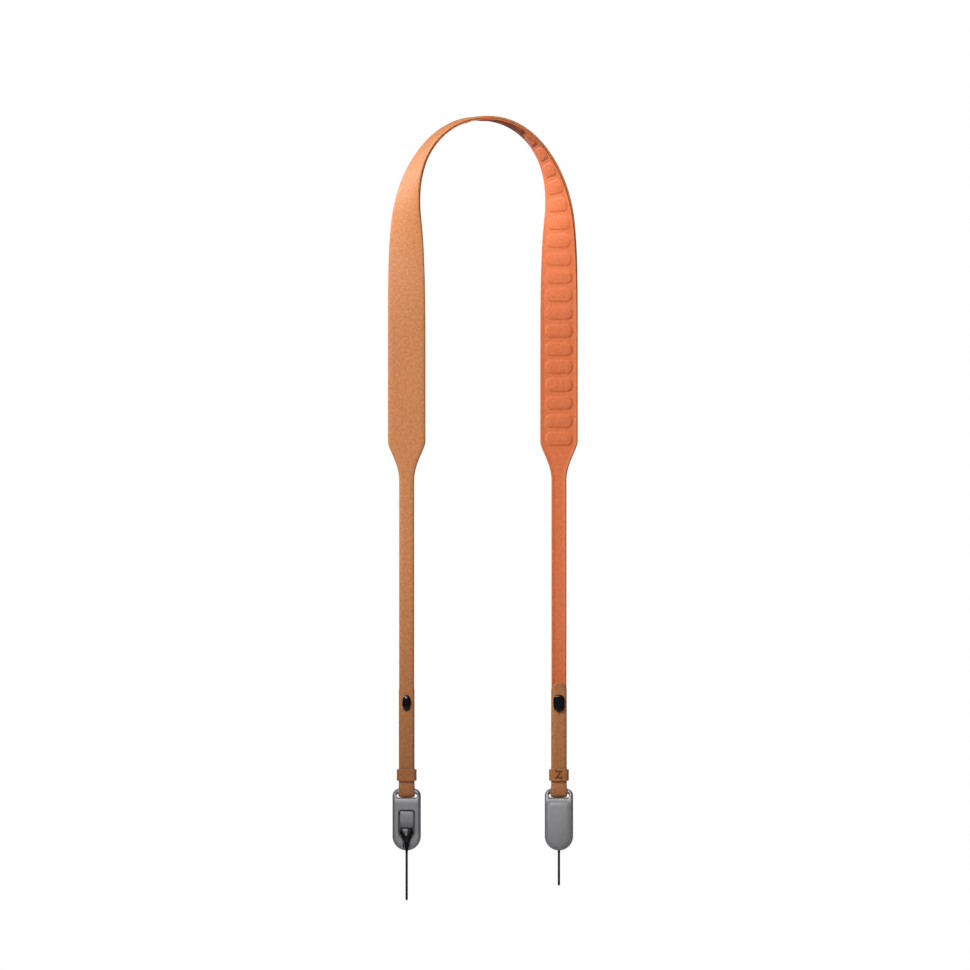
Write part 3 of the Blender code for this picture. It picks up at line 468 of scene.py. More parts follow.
def blasted_coat(name, base, roughness):
    """Die-cast metal, shot blasted and coated: a fine even grit that breaks up every highlight."""
    material, tree, shader = new_material(name)
    place = add(tree, "ShaderNodeTexCoord").outputs["Object"]
    specks = add(tree, "ShaderNodeTexNoise", {"Vector": place, "Scale": 1 / COAT_GRIT, "Detail": 2.0})
    clouds = add(tree, "ShaderNodeTexNoise", {"Vector": place, "Scale": 1 / COAT_CLOUDS, "Detail": 3.0})
    shade = add(tree, "ShaderNodeMapRange", {"Value": clouds.outputs["Fac"], "To Min": 0.94, "To Max": 1.06})
    tint = add(tree, "ShaderNodeVectorMath", {0: colour(base)[:3], "Scale": shade.outputs[0]}, operation="SCALE")
    shader.inputs["Metallic"].default_value = COAT_METALLIC
    bump = add(tree, "ShaderNodeBump", {"Height": specks.outputs["Fac"], "Distance": 0.03 * MM, "Strength": 0.5})
    gloss = add(tree, "ShaderNodeMapRange",
                {"Value": specks.outputs["Fac"], "To Min": roughness - 0.05, "To Max": roughness + 0.05})
    tree.links.new(tint.outputs["Vector"], shader.inputs["Base Color"])
    tree.links.new(gloss.outputs[0], shader.inputs["Roughness"])
    tree.links.new(bump.outputs["Normal"], shader.inputs["Normal"])
    return material


def moulded(name, base, texture, roughness):
    """A moulded or polished black: even, with a faint unevenness that softens its reflections."""
    material, tree, shader = new_material(name)
    place = add(tree, "ShaderNodeTexCoord").outputs["Object"]
    waves = add(tree, "ShaderNodeTexNoise", {"Vector": place, "Scale": 1 / texture, "Detail": 2.0})
    gloss = add(tree, "ShaderNodeMapRange",
                {"Value": waves.outputs["Fac"], "To Min": roughness - 0.04, "To Max": roughness + 0.04})
    bump = add(tree, "ShaderNodeBump", {"Height": waves.outputs["Fac"], "Distance": 0.02 * MM, "Strength": 0.4})
    shader.inputs["Base Color"].default_value = colour(base)
    tree.links.new(gloss.outputs[0], shader.inputs["Roughness"])
    tree.links.new(bump.outputs["Normal"], shader.inputs["Normal"])
    return material


SHELL = blasted_coat("matte_grey_coated_alloy", "adadae", 0.5)
BUTTON_COAT = blasted_coat("matte_grey_button_coat", "afafaf", 0.46)
ANCHOR_BLACK = moulded("satin_moulded_nylon", "111112", 0.8 * MM, 0.25)
STUD_BLACK = moulded("polished_black_plating", "050507", 2 * MM, 0.16)
CORD_BLACK = moulded("waxed_braided_cord", "111112", 0.3 * MM, 0.55)
print("hard materials:", SHELL.name, BUTTON_COAT.name, ANCHOR_BLACK.name, STUD_BLACK.name, CORD_BLACK.name)

# %% The two cord loops


def cord_mesh(name, line):
    """The braided cord along this line, as a plain mesh."""
    curve = bpy.data.curves.new(name, "CURVE")
    curve.dimensions = "3D"
    spline = curve.splines.new("POLY")
    spline.points.add(len(line) - 1)
    for point, place in zip(spline.points, line):
        point.co = (*place, 1.0)
    obj = scratch(curve, name)
    modifier = obj.modifiers.new("braid", "NODES")
    modifier.node_group = CORD_TREE
    for name, value in {**BRAID, "Material": CORD_BLACK}.items():
        set_input(modifier, name, value)
    return evaluated(obj)


for side, (facing, strand) in ENDS.items():
    line = cord_line(strand, facing)
    piece = add_piece(f"{side}_lug_cord", cord_mesh(f"{side}_lug_cord", line), [CORD_BLACK],
                      STRAP, [f"{side}_cord_loop"], 60)

# %% [markdown]
# ## A strip that hangs on a line
#
# Strap and lining are both flat strips, cut flat and bent afterwards. They are made that way here: the
# script builds each strip flat, with x across it, y along it and z out of its outer face. A Geometry Nodes
# tree then hangs it on a line, as a modifier, so the flat strip stays easy to change. Each point of the
# line carries the directions across and out of the strap, so a strip can turn as it runs down a leg.

# %% A tree that hangs a flat strip on a line


def hang_tree():
    tree, given = modifier_tree(
        "hung_on_line", [("Line", "Object"), ("Material", "Material"), ("Edge material", "Material")])
    source = add(tree, "GeometryNodeObjectInfo", {"Object": given["Line"]})
    line = add(tree, "GeometryNodeMeshToCurve", {"Mesh": source.outputs["Geometry"]})
    flat = add(tree, "ShaderNodeSeparateXYZ", {0: add(tree, "GeometryNodeInputPosition")})
    place, directions = None, []
    for name in ("across", "out"):
        value = add(tree, "GeometryNodeInputNamedAttribute", {"Name": name}, data_type="FLOAT_VECTOR")
        sample = add(tree, "GeometryNodeSampleCurve", {"Curves": line, "Length": flat.outputs["Y"]},
                     mode="LENGTH", data_type="FLOAT_VECTOR")
        tree.links.new(value.outputs["Attribute"], next(i for i in sample.inputs if i.name == "Value" and i.enabled))
        place = sample.outputs["Position"]
        directions.append(next(o for o in sample.outputs if o.name == "Value" and o.enabled))
    sideways = add(tree, "ShaderNodeVectorMath", {0: directions[0], "Scale": flat.outputs["X"]}, operation="SCALE")
    outward = add(tree, "ShaderNodeVectorMath", {0: directions[1], "Scale": flat.outputs["Z"]}, operation="SCALE")
    beside = add(tree, "ShaderNodeVectorMath", {0: place, 1: sideways}, operation="ADD")
    hung = add(tree, "ShaderNodeVectorMath", {0: beside, 1: outward}, operation="ADD")
    moved = add(tree, "GeometryNodeSetPosition", {"Geometry": given["Geometry"], "Position": hung})
    real = add(tree, "GeometryNodeRealizeInstances", {"Geometry": moved})
    face_material = add(tree, "GeometryNodeSetMaterial", {"Geometry": real, "Material": given["Material"]})
    is_edge = add(tree, "GeometryNodeInputNamedAttribute", {"Name": "edge"}, data_type="BOOLEAN")
    edged = add(tree, "GeometryNodeSetMaterial",
                {"Geometry": face_material, "Selection": is_edge, "Material": given["Edge material"]})
    add(tree, "NodeGroupOutput", {"Geometry": edged})
    return tree


HANG_TREE = hang_tree()
print("the hanging tree has", len(HANG_TREE.nodes), "nodes")

# %% Lines, sections and flat strips


def line_object(name, points, across, out):
    """The hanging line as edges, with its directions, and the distance along it of each of its points."""
    mesh = bpy.data.meshes.new(name)
    mesh.from_pydata([tuple(p) for p in points], [(i, i + 1) for i in range(len(points) - 1)], [])
    for attribute, values in (("across", across), ("out", out)):
        layer = mesh.attributes.new(attribute, "FLOAT_VECTOR", "POINT")
        layer.data.foreach_set("vector", np.asarray(values, np.float32).ravel())
    along = np.concatenate([[0], np.cumsum(np.linalg.norm(np.diff(points, axis=0), axis=1))])
    return scratch(mesh, name), along


def both_legs(points, across, out):
    """The whole line from its right half. The left half is that one turned half way round."""
    turned = np.array((-1, -1, 1))
    return (np.concatenate([(points * turned)[:0:-1], points]),
            np.concatenate([(-across * turned)[:0:-1], across]),
            np.concatenate([(out * turned)[:0:-1], out]))


def strip_section(thickness, edge_round, face_steps, edge_steps):
    """A strip's section: share of the flat half width, extra across, height. Its faces crowd at the edges."""
    face = [(math.sin(a), 0.0, thickness / 2) for a in np.linspace(math.pi / 2, -math.pi / 2, face_steps)]
    bend = np.linspace(math.pi / 2, 3 * math.pi / 2, edge_steps + 2)[1:-1]
    left = [(-1.0, edge_round * math.cos(a), thickness / 2 * math.sin(a)) for a in bend]
    back = [(-s, 0.0, -y) for s, _, y in face]
    right = [(-s, -x, -y) for s, x, y in left]
    return np.array(face + left + back + right)


def flat_strip(name, along, half_width, section, edge_round, edge_lift, lift_reach):
    """A flat strip. Its edges lift by a little towards the inner side, over the given reach."""
    x = section[None, :, 0] * (half_width[:, None] - edge_round) + section[None, :, 1]
    y = np.repeat(along[:, None], len(section), axis=1)
    z = np.repeat(section[None, :, 2], len(along), axis=0)
    near_edge = np.clip(1 - (half_width[:, None] - np.abs(x)) / lift_reach, 0, 1)
    mesh = skin(name, np.stack([x, y, z - edge_lift * near_edge ** 2], axis=2))
    loops = np.empty(len(mesh.loops), np.int32)
    mesh.loops.foreach_get("vertex_index", loops)
    flat = np.stack([x.ravel(), y.ravel()], axis=1)[loops]
    mesh.uv_layers.new(name="strap").data.foreach_set("uv", flat.astype(np.float32).ravel())
    return mesh


def mark_edges(mesh, section):
    """Marks the faces on the cut wall in the middle of each round edge."""
    count = len(section)
    wall = np.abs(section[:, 2]) < 0.62 * section[:, 2].max()
    on_edge = wall & np.roll(wall, -1)
    flags = on_edge[np.arange(len(mesh.polygons)) % count]
    flags[-2:] = True
    mesh.attributes.new("edge", "BOOLEAN", "FACE").data.foreach_set("value", flags)


def hung(mesh, line, material, edge_material, before=()):
    """The strip after its own trees and the hanging tree, as a plain mesh."""
    obj = scratch(outwards(mesh), mesh.name)
    for tree, sizes in before:
        modifier = obj.modifiers.new(tree.name, "NODES")
        modifier.node_group = tree
        for name, value in sizes.items():
            set_input(modifier, name, value)
    modifier = obj.modifiers.new("hang", "NODES")
    modifier.node_group = HANG_TREE
    for name, value in (("Line", line), ("Material", material), ("Edge material", edge_material)):
        set_input(modifier, name, value)
    result = evaluated(obj)
    bpy.data.objects.remove(line)
    if "edge" in result.attributes:
        result.attributes.remove(result.attributes["edge"])
    return outwards(result)


def graded(start, end, step):
    return np.linspace(start, end, max(2, int(abs(end - start) / step) + 1))


print("strips can be hung")

# %% [markdown]
# ## The leather strip
#
# The strap is one strip of leather 1.5 mm thick. Its cut edges were rounded and waxed, and the strip is
# pressed so that its edges lift a little towards the neck. At the taper it narrows. It then passes under
# the bar of the quick release and lies back along itself as a tail with a round tip.

# %% The leather strip
EDGE_ROUND = 1.0 * MM
EDGE_LIFT = 0.6 * MM
LIFT_REACH = 3.4 * MM
TIP_BEND = 10.5 * MM                   # the tail's tip stands off above the stud that holds it down
TIP_STANDS_OFF = 2.2 * MM


def fold_rows():
    """The right leg's leather from the keeper, round the bar and up to the tail's tip, as (out, up)."""
    start = KEEPER_ABOVE_BAR - KEEPER_HEIGHT / 2
    end = BAR_HEIGHT - 0.75 * BAR_THICKNESS
    radius = BAR_THICKNESS / 2 + 0.15 * MM + LEATHER / 2
    share = np.linspace(0, 1, 10)
    out = LEATHER_OFFSET + (radius - LEATHER_OFFSET) * smooth(share)
    spread = np.stack([out, start + (end - start) * share], axis=1)
    angle = np.linspace(0, math.pi, 27)
    bend = np.stack([radius * np.cos(angle), -radius * np.sin(angle)], axis=1)
    back = spread[::-1] * (-1, 1)
    straight = np.linspace(start, TAIL_LENGTH - TAIL_TIP, 30)[1:]
    tip = TAIL_LENGTH - TAIL_TIP * (1 - np.sin(np.linspace(0, math.pi / 2, 20)[1:]))
    up = np.concatenate([straight, tip])
    stand_off = TIP_STANDS_OFF * np.clip((up - TAIL_LENGTH + TIP_BEND) / TIP_BEND, 0, 1) ** 2
    tail = np.stack([-LEATHER_OFFSET - stand_off, up], axis=1)
    return np.concatenate([spread, bend[1:], back[1:], tail])


def fold_half_widths(rows):
    out, up = rows[:, 0], rows[:, 1]
    keeper_share = (up - KEEPER_ABOVE_BAR + KEEPER_HEIGHT / 2) / KEEPER_HEIGHT
    width = NARROW_WIDTH + 0.5 * MM * (out < 0) + LOOP_FLARE * (1 - smooth(1 + keeper_share)) * 0.8
    into_tip = np.clip((up - TAIL_LENGTH + TAIL_TIP) / TAIL_TIP, 0, 1) * (out < 0)
    return width / 2 * np.sqrt(np.maximum(1 - into_tip ** 2, 0.03))


def leather_mesh():
    keeper_low = HALF_LENGTH - KEEPER_ABOVE_BAR + KEEPER_HEIGHT / 2
    taper_end = HALF_WIDE_LENGTH + TAPER_LENGTH
    along = np.concatenate([
        graded(0, TWIST_LENGTH, 1.5 * MM),
        graded(TWIST_LENGTH, HALF_WIDE_LENGTH, 4 * MM)[1:],
        graded(HALF_WIDE_LENGTH, taper_end, 0.8 * MM)[1:],
        graded(taper_end, keeper_low, 4 * MM)[1:-1],
    ])
    point, across, out = strap_frames(along)
    rows = fold_rows()
    fold = np.stack([np.full(len(rows), LEG_OFFSET), rows[:, 0], BAR_LEVEL + rows[:, 1]], axis=1)
    ahead = np.gradient(fold, axis=0)
    ahead /= np.linalg.norm(ahead, axis=1, keepdims=True)
    sideways = np.repeat([[1.0, 0.0, 0.0]], len(rows), axis=0)
    legs = both_legs(np.concatenate([point + out * LEATHER_OFFSET, fold]),
                     np.concatenate([across, sideways]), np.concatenate([out, np.cross(sideways, ahead)]))
    line, length = line_object("leather_line", *legs)
    half = np.concatenate([strap_widths(along) / 2, fold_half_widths(rows)])
    section = strip_section(LEATHER, EDGE_ROUND, 18, 7)
    flat = flat_strip("leather_strip", length, np.concatenate([half[:0:-1], half]), section,
                      EDGE_ROUND, EDGE_LIFT, LIFT_REACH)
    mark_edges(flat, section)
    print(f"the strip is {length[-1] / MM:.0f} mm long before it is hung")
    # The cut walls take the dark burnished brown, which is partly painted shade.
    return hung(flat, line, TAN, BURNISH_AND_SHADE)


STUD_HOLE = 2.2 * MM                   # radius
SLIT_WIDTH = 0.75 * MM
SLIT_LENGTH = 10 * MM                  # from the middle of the hole


def stud_cutters():
    """A round hole and, below it, the slit that lets the tail pass over the stud's knob."""
    cutters = []
    for side, (facing, _) in ENDS.items():
        turned = Matrix.Diagonal((facing, facing, 1, 1))
        place = Matrix.Translation((LEG_OFFSET, 0, BAR_LEVEL + STUD_ABOVE_BAR))
        bm = bmesh.new()
        bmesh.ops.create_cone(bm, cap_ends=True, segments=32, radius1=STUD_HOLE, radius2=STUD_HOLE, depth=12 * MM)
        bmesh.ops.rotate(bm, verts=bm.verts, cent=(0, 0, 0), matrix=Matrix.Rotation(math.pi / 2, 3, "X"))
        slit = bmesh.ops.create_cube(bm, size=1.0)["verts"]
        bmesh.ops.scale(bm, verts=slit, vec=(SLIT_WIDTH, 4 * MM, SLIT_LENGTH))
        bmesh.ops.translate(bm, verts=slit, vec=(0, -2.6 * MM, -SLIT_LENGTH / 2))
        mesh = finished(bm, "cutter")
        mesh.transform(turned @ place)
        cutters.append(scratch(mesh, f"{side}_cutter"))
    return cutters


def cut(mesh, cutters, name, crosses_itself=True):
    """The mesh without these solids. A mesh that crosses itself is first made one solid."""
    obj = scratch(mesh, name)
    for cutter in cutters:
        boolean = obj.modifiers.new(cutter.name, "BOOLEAN")
        boolean.operation = "DIFFERENCE"
        boolean.object = cutter
        boolean.solver = "EXACT"
        boolean.use_self = crosses_itself
    result = evaluated(obj)
    for cutter in cutters:
        bpy.data.objects.remove(cutter)
    return result


add_piece("leather_strip", cut(leather_mesh(), stud_cutters(), "leather_strip"), [TAN, BURNISH_AND_SHADE], STRAP,
          ["outer_leather"], 50)

# %% [markdown]
# ## The lining and its pads
#
# The lining is a second, softer skin on the strap's inner side. It was pressed in a mould, so a row of
# puffy pads stands up from it at an even pitch. A second tree presses them into the flat sheet before it
# is hung: it works out how deep inside a pad each point lies. Changing the pitch or the corners is then
# one number.

# %% A tree that presses pads into a flat sheet
PAD_LENGTH = 11.4 * MM
PAD_GROOVE = 3.0 * MM
PAD_WIDTH = 22.4 * MM
PADS_EACH_WAY = 20


def pad_tree():
    sizes = ("Pad length", "Groove", "Pad width", "Corner", "Height", "Puff", "Slope", "Middle", "Padded half")
    tree, given = modifier_tree("pressed_pads", [(name, "Float") for name in sizes] + [("Material", "Material")])
    flat = add(tree, "ShaderNodeSeparateXYZ", {0: add(tree, "GeometryNodeInputPosition")})
    along = maths(tree, "SUBTRACT", flat.outputs["Y"], given["Middle"])

    # How far a point lies from the middle of its own pad, along and across, past the round corner's centre.
    pitch = maths(tree, "ADD", given["Pad length"], given["Groove"])
    half_pitch = maths(tree, "MULTIPLY", pitch, 0.5)
    low = maths(tree, "MULTIPLY", half_pitch, -1.0)
    cell = maths(tree, "WRAP", along, half_pitch, low)
    past = []
    for place, size in ((cell, "Pad length"), (flat.outputs["X"], "Pad width")):
        distance = maths(tree, "ABSOLUTE", place)
        half = maths(tree, "MULTIPLY", given[size], 0.5)
        straight = maths(tree, "SUBTRACT", half, given["Corner"])
        past.append(maths(tree, "SUBTRACT", distance, straight))

    # Depth inside the pad's outline, a rectangle with round corners.
    outside = [maths(tree, "MAXIMUM", p, 0.0) for p in past]
    squares = [maths(tree, "MULTIPLY", o, o) for o in outside]
    total = maths(tree, "ADD", squares[0], squares[1])
    corner_way = maths(tree, "SQRT", total)
    larger = maths(tree, "MAXIMUM", past[0], past[1])
    inside = maths(tree, "MINIMUM", larger, 0.0)
    both = maths(tree, "ADD", corner_way, inside)
    depth = maths(tree, "SUBTRACT", given["Corner"], both)

    # A steep side, and above it a slow swell up to the middle.
    side = add(tree, "ShaderNodeMapRange", {"Value": depth, "From Max": given["Slope"], "To Max": given["Height"]},
               interpolation_type="SMOOTHSTEP")
    reach = maths(tree, "MULTIPLY", given["Pad length"], 0.42)
    swell = add(tree, "ShaderNodeMapRange", {"Value": depth, "From Max": reach, "To Max": given["Puff"]},
                interpolation_type="SMOOTHSTEP")
    rise = maths(tree, "ADD", side.outputs[0], swell.outputs[0])

    # Only the inner face of the padded part is pressed.
    far = maths(tree, "ABSOLUTE", along)
    padded = maths(tree, "LESS_THAN", far, given["Padded half"])
    inner = maths(tree, "LESS_THAN", flat.outputs["Z"], 0.0)
    shown = maths(tree, "MULTIPLY", padded, inner)
    lift = maths(tree, "MULTIPLY", rise, shown)
    down = maths(tree, "MULTIPLY", lift, -1.0)
    offset = add(tree, "ShaderNodeCombineXYZ", {"Z": down})
    pressed = add(tree, "GeometryNodeSetPosition", {"Geometry": given["Geometry"], "Offset": offset})
    real = add(tree, "GeometryNodeRealizeInstances", {"Geometry": pressed})
    dressed = add(tree, "GeometryNodeSetMaterial", {"Geometry": real, "Material": given["Material"]})
    add(tree, "NodeGroupOutput", {"Geometry": dressed})
    return tree


PAD_TREE = pad_tree()
print("the pad tree has", len(PAD_TREE.nodes), "nodes")

# %% The lining
LINING_INSET = 0.5 * MM
LINING_ROUND = 0.45 * MM
INNER_STEPS = 56
PAD_SHAPE = {"Corner": 5.0 * MM, "Height": 0.65 * MM, "Puff": 0.3 * MM, "Slope": 1.15 * MM}


def lining_section():
    """The lining's section: a plain outer face, round edges and an inner face with many points."""
    outer = [(s, 0.0, LINING / 2) for s in np.linspace(1, -1, 12)]
    bend = np.linspace(math.pi / 2, 3 * math.pi / 2, 6)[1:-1]
    left = [(-1.0, LINING_ROUND * math.cos(a), LINING / 2 * math.sin(a)) for a in bend]
    inner = [(s, 0.0, -LINING / 2) for s in np.linspace(-1, 1, INNER_STEPS)]
    right = [(-s, -x, y) for s, x, y in reversed(left)]
    return np.array(outer + left + inner + right)


def lining_mesh():
    padded_half = (PADS_EACH_WAY + 0.5) * (PAD_LENGTH + PAD_GROOVE)
    taper_end = HALF_WIDE_LENGTH + TAPER_LENGTH
    right = np.concatenate([
        graded(0, padded_half, 0.6 * MM),
        graded(padded_half, taper_end, 0.9 * MM)[1:],
        graded(taper_end, HALF_LENGTH - KEEPER_ABOVE_BAR, 5 * MM)[1:],
    ])
    line, length = line_object("lining_line", *both_legs(*strap_frames(right)))
    half = strap_widths(right) / 2 - LINING_INSET
    flat = flat_strip("padded_lining", length, np.concatenate([half[:0:-1], half]), lining_section(),
                      LINING_ROUND, EDGE_LIFT, LIFT_REACH)
    sizes = {**PAD_SHAPE, "Pad length": PAD_LENGTH, "Groove": PAD_GROOVE, "Pad width": PAD_WIDTH,
             "Middle": length[-1] / 2, "Padded half": padded_half, "Material": LINING_SKIN}
    return hung(flat, line, LINING_SKIN, LINING_SKIN, [(PAD_TREE, sizes)])


lining_piece = add_piece("padded_lining", lining_mesh(), [LINING_SKIN], STRAP, ["inner_lining"],
                         60)

# %% [markdown]
# ## Tools for the hard pieces
#
# Both ends are the same assembly. Each piece is modelled once, in a small frame at the middle of the
# bar's round lower edge, with its outer side towards +Y. The right end is that frame moved to the right
# leg, and the left end is the right one turned half way round.

# %% Solid tools


def flat_solid(outline, thickness):
    """A plate with this outline, upright in the XZ plane."""
    curve = bpy.data.curves.new("outline", "CURVE")
    curve.dimensions = "2D"
    curve.fill_mode = "BOTH"
    curve.extrude = thickness / 2
    spline = curve.splines.new("POLY")
    spline.points.add(len(outline) - 1)
    for point, (x, y) in zip(spline.points, outline):
        point.co = (x, y, 0.0, 1.0)
    spline.use_cyclic_u = True
    mesh = evaluated(scratch(curve))
    bm = bmesh.new()
    bm.from_mesh(mesh)
    bmesh.ops.remove_doubles(bm, verts=bm.verts, dist=1e-6)
    bmesh.ops.dissolve_limit(bm, angle_limit=math.radians(0.5), verts=bm.verts, edges=bm.edges)
    bmesh.ops.rotate(bm, verts=bm.verts, cent=(0, 0, 0), matrix=Matrix.Rotation(math.pi / 2, 3, "X"))
    bmesh.ops.recalc_face_normals(bm, faces=bm.faces)
    bm.to_mesh(mesh)
    bm.free()
    return mesh


def bevelled(mesh, width, segments):
    obj = scratch(mesh)
    bevel = obj.modifiers.new("edges", "BEVEL")
    bevel.width = width
    bevel.segments = segments
    bevel.limit_method = "ANGLE"
    bevel.angle_limit = math.radians(50)
    bevel.use_clamp_overlap = False
    return evaluated(obj)


def arc(centre, radius, start, end, steps):
    angles = np.radians(np.linspace(start, end, steps + 1))
    return [(centre[0] + radius * math.cos(a), centre[1] + radius * math.sin(a)) for a in angles]


def rounded_rectangle(left, right, bottom, top, radius):
    corners = ((right - radius, top - radius), (left + radius, top - radius),
               (left + radius, bottom + radius), (right - radius, bottom + radius))
    return [point for i, corner in enumerate(corners) for point in arc(corner, radius, 90 * i, 90 * i + 90, 10)]


def widened(outline, distance):
    """The outline moved outwards by this distance, point by point."""
    points = np.array(outline)
    ahead = np.roll(points, -1, axis=0) - np.roll(points, 1, axis=0)
    normal = np.stack([ahead[:, 1], -ahead[:, 0]], axis=1) / np.linalg.norm(ahead, axis=1, keepdims=True)
    return points + normal * distance


def oval(half_x, half_y, power, count):
    """A closed ring of points, an ellipse at power 2 and squarer above."""
    angle = 2 * math.pi * (np.arange(count) + 0.5) / count
    c, s = np.cos(angle), np.sin(angle)
    x = half_x * np.copysign(np.abs(c) ** (2 / power), c)
    y = half_y * np.copysign(np.abs(s) ** (2 / power), s)
    return np.stack([x, y], axis=1)


def placed(mesh, side, location=(0, 0, 0)):
    """A copy of an end's mesh on its own leg."""
    copy = mesh.copy()
    right = Matrix.Translation(Vector((LEG_OFFSET, 0, BAR_LEVEL)) + Vector(location))
    turned = Matrix.Rotation(math.pi if side == "left" else 0.0, 4, "Z")
    copy.transform(turned @ right)
    return copy


def add_ends(name, node, mesh, materials, location=(0, 0, 0), body=STRAP, sharp=35):
    """The piece on both legs, each in place of its own solid."""
    for side in ENDS:
        riding = f"{side}_{body}" if body != STRAP else STRAP
        add_piece(f"{side}_{name}", placed(mesh, side, location), materials, riding,
                  [f"{side}_{node}"], sharp)


print("tools are ready")

# %% [markdown]
# ## Keepers
#
# A keeper is a short band of the same leather that holds both layers together. Its ends interlock in a
# zigzag on the inner side. The band is swept round a rounded rectangle, lower at its sides and with lips
# that roll outwards a little. Then one thin block for each stroke of the zigzag is cut out of it.

# %% Keepers
KEEPER_WALL = 1.2 * MM
KEEPER_HALF_X = NARROW_WIDTH / 2 + 0.70 * MM
KEEPER_HALF_Y = STACK_HALF + 0.65 * MM
KEEPER_FLARE = 0.25 * MM
KEEPER_POWER = 4.0                     # how square its outline is
LIP_ROUND = 0.6 * MM
LIP_SHARE = 0.20                       # share of half the height that each lip takes
ZIGZAG_REACH = 2.2 * MM
ZIGZAG_GAP = 1.1 * MM


def zigzag_cutters():
    """One thin block for each stroke of the zigzag, deep enough for the wall on the inner side."""
    corners = [(x * ZIGZAG_REACH, z * KEEPER_HEIGHT / 2) for x, z in
               ((-1, 1.2), (-1, 0.50), (1, 0.56), (-1, -0.44), (1, -0.38), (1, -1.2))]
    blocks = []
    for (x0, z0), (x1, z1) in zip(corners, corners[1:]):
        size = (math.hypot(x1 - x0, z1 - z0) + ZIGZAG_GAP, 3 * KEEPER_WALL, ZIGZAG_GAP)
        turn = Matrix.Rotation(-math.atan2(z1 - z0, x1 - x0), 4, "Y")
        place = Matrix.Translation(((x0 + x1) / 2, -KEEPER_HALF_Y - KEEPER_WALL, (z0 + z1) / 2))
        bm = bmesh.new()
        bmesh.ops.create_cube(bm, size=1.0, matrix=place @ turn @ Matrix.Diagonal((*size, 1)))
        blocks.append(scratch(finished(bm, "stroke"), "stroke"))
    return blocks


def keeper_mesh():
    """The band's wall swept round the strap. It bulges a little and its lips are rolled outwards."""
    around = 180
    path = oval(KEEPER_HALF_X, KEEPER_HALF_Y, KEEPER_POWER, around)
    ahead = np.roll(path, -1, axis=0) - np.roll(path, 1, axis=0)
    out = np.stack([ahead[:, 1], -ahead[:, 0]], axis=1) / np.linalg.norm(ahead, axis=1, keepdims=True)
    rings = []
    for point, normal in zip(path, out):
        half = KEEPER_HEIGHT / 2 * (1.02 - 0.14 * smooth(abs(normal[0]) * 1.1))
        wall = []
        for outer in (True, False):
            for share in np.sin(np.linspace(-1, 1, 19) * math.pi / 2):
                lip = max(0.0, (abs(share) - 1 + LIP_SHARE) / LIP_SHARE)
                rounding = LIP_ROUND * (1 - math.sqrt(max(0.0, 1 - lip ** 2)))
                swell = KEEPER_WALL + KEEPER_FLARE * abs(share) ** 6
                depth = swell - rounding if outer else 0.6 * rounding
                wall.append((*(point + normal * depth), (1 if outer else -1) * half * share))
        rings.append(wall)
    band = outwards(skin("keeper", rings + rings[:1], ends=False), weld=1e-7)
    return cut(band, zigzag_cutters(), "keeper")


add_ends("keeper_band", "keeper", keeper_mesh(), [KEEPER_SKIN], (0, 0, KEEPER_ABOVE_BAR), sharp=60)

# %% [markdown]
# ## Studs
#
# A stud buttons the folded tail to the strap. Its outer head is a polished oval dome, and its inner head
# is a squarer knob that the tail's keyhole slips over. Both are lofted through rings whose outline is a
# superellipse, which gives an oval or a rounded rectangle from one formula.

# %% Studs
STUD_SECTIONS = (
    # which head, share of height, half width share, half length share
    ("knob", 1.00, 0.02, 0.02), ("knob", 1.00, 0.45, 0.55), ("knob", 0.985, 0.68, 0.77), ("knob", 0.93, 0.84, 0.89),
    ("knob", 0.82, 0.94, 0.96), ("knob", 0.62, 1.00, 1.00), ("knob", 0.35, 0.99, 0.99), ("knob", 0.15, 0.94, 0.96),
    ("knob", 0.00, 0.84, 0.88), ("neck", 0.00, 1.00, 1.00), ("neck", 1.00, 1.00, 1.00),
    ("dome", 0.00, 0.90, 0.93), ("dome", 0.08, 0.97, 0.98), ("dome", 0.22, 1.00, 1.00), ("dome", 0.42, 0.96, 0.97),
    ("dome", 0.62, 0.85, 0.88), ("dome", 0.80, 0.66, 0.71), ("dome", 0.93, 0.42, 0.47), ("dome", 1.00, 0.02, 0.02),
)
STUD_HEADS = {
    # head: half width, half length, height, power of its outline
    "knob": (4.5 * MM, 6.55 * MM, 2.6 * MM, 3.2),
    "neck": (1.9 * MM, 1.9 * MM, 0.0, 2.0),
    "dome": (3.5 * MM, 6.4 * MM, 1.9 * MM, 2.05),
}


def stud_mesh():
    face = STACK_HALF + 0.05 * MM
    rings = []
    for head, share, wide, long in STUD_SECTIONS:
        half_x, half_z, height, power = STUD_HEADS[head]
        outline = oval(half_x * wide, half_z * long, power, 48)
        side = 1 if head == "dome" or (head == "neck" and share > 0) else -1
        y = side * (face + share * height)
        rings.append([(x, y, z) for x, z in outline])
    return outwards(skin("stud", rings))


add_ends("stud_button", "stud", stud_mesh(), [STUD_BLACK], (0, 0, STUD_ABOVE_BAR), sharp=60)

# %% [markdown]
# ## The quick release
#
# The housing is a die-cast slab, round at the bottom, with a bar across its top for the leather. All its
# edges run over in soft curves, and the front is rounder than the back. Such a shape is easy to give as a
# rule: how thick the slab is at each place, from how far that place lies from the outline and from the
# slot. So the script meshes the outline flat, lifts the front and the back by that rule, and then cuts
# the pocket and the seat of the cover plate.

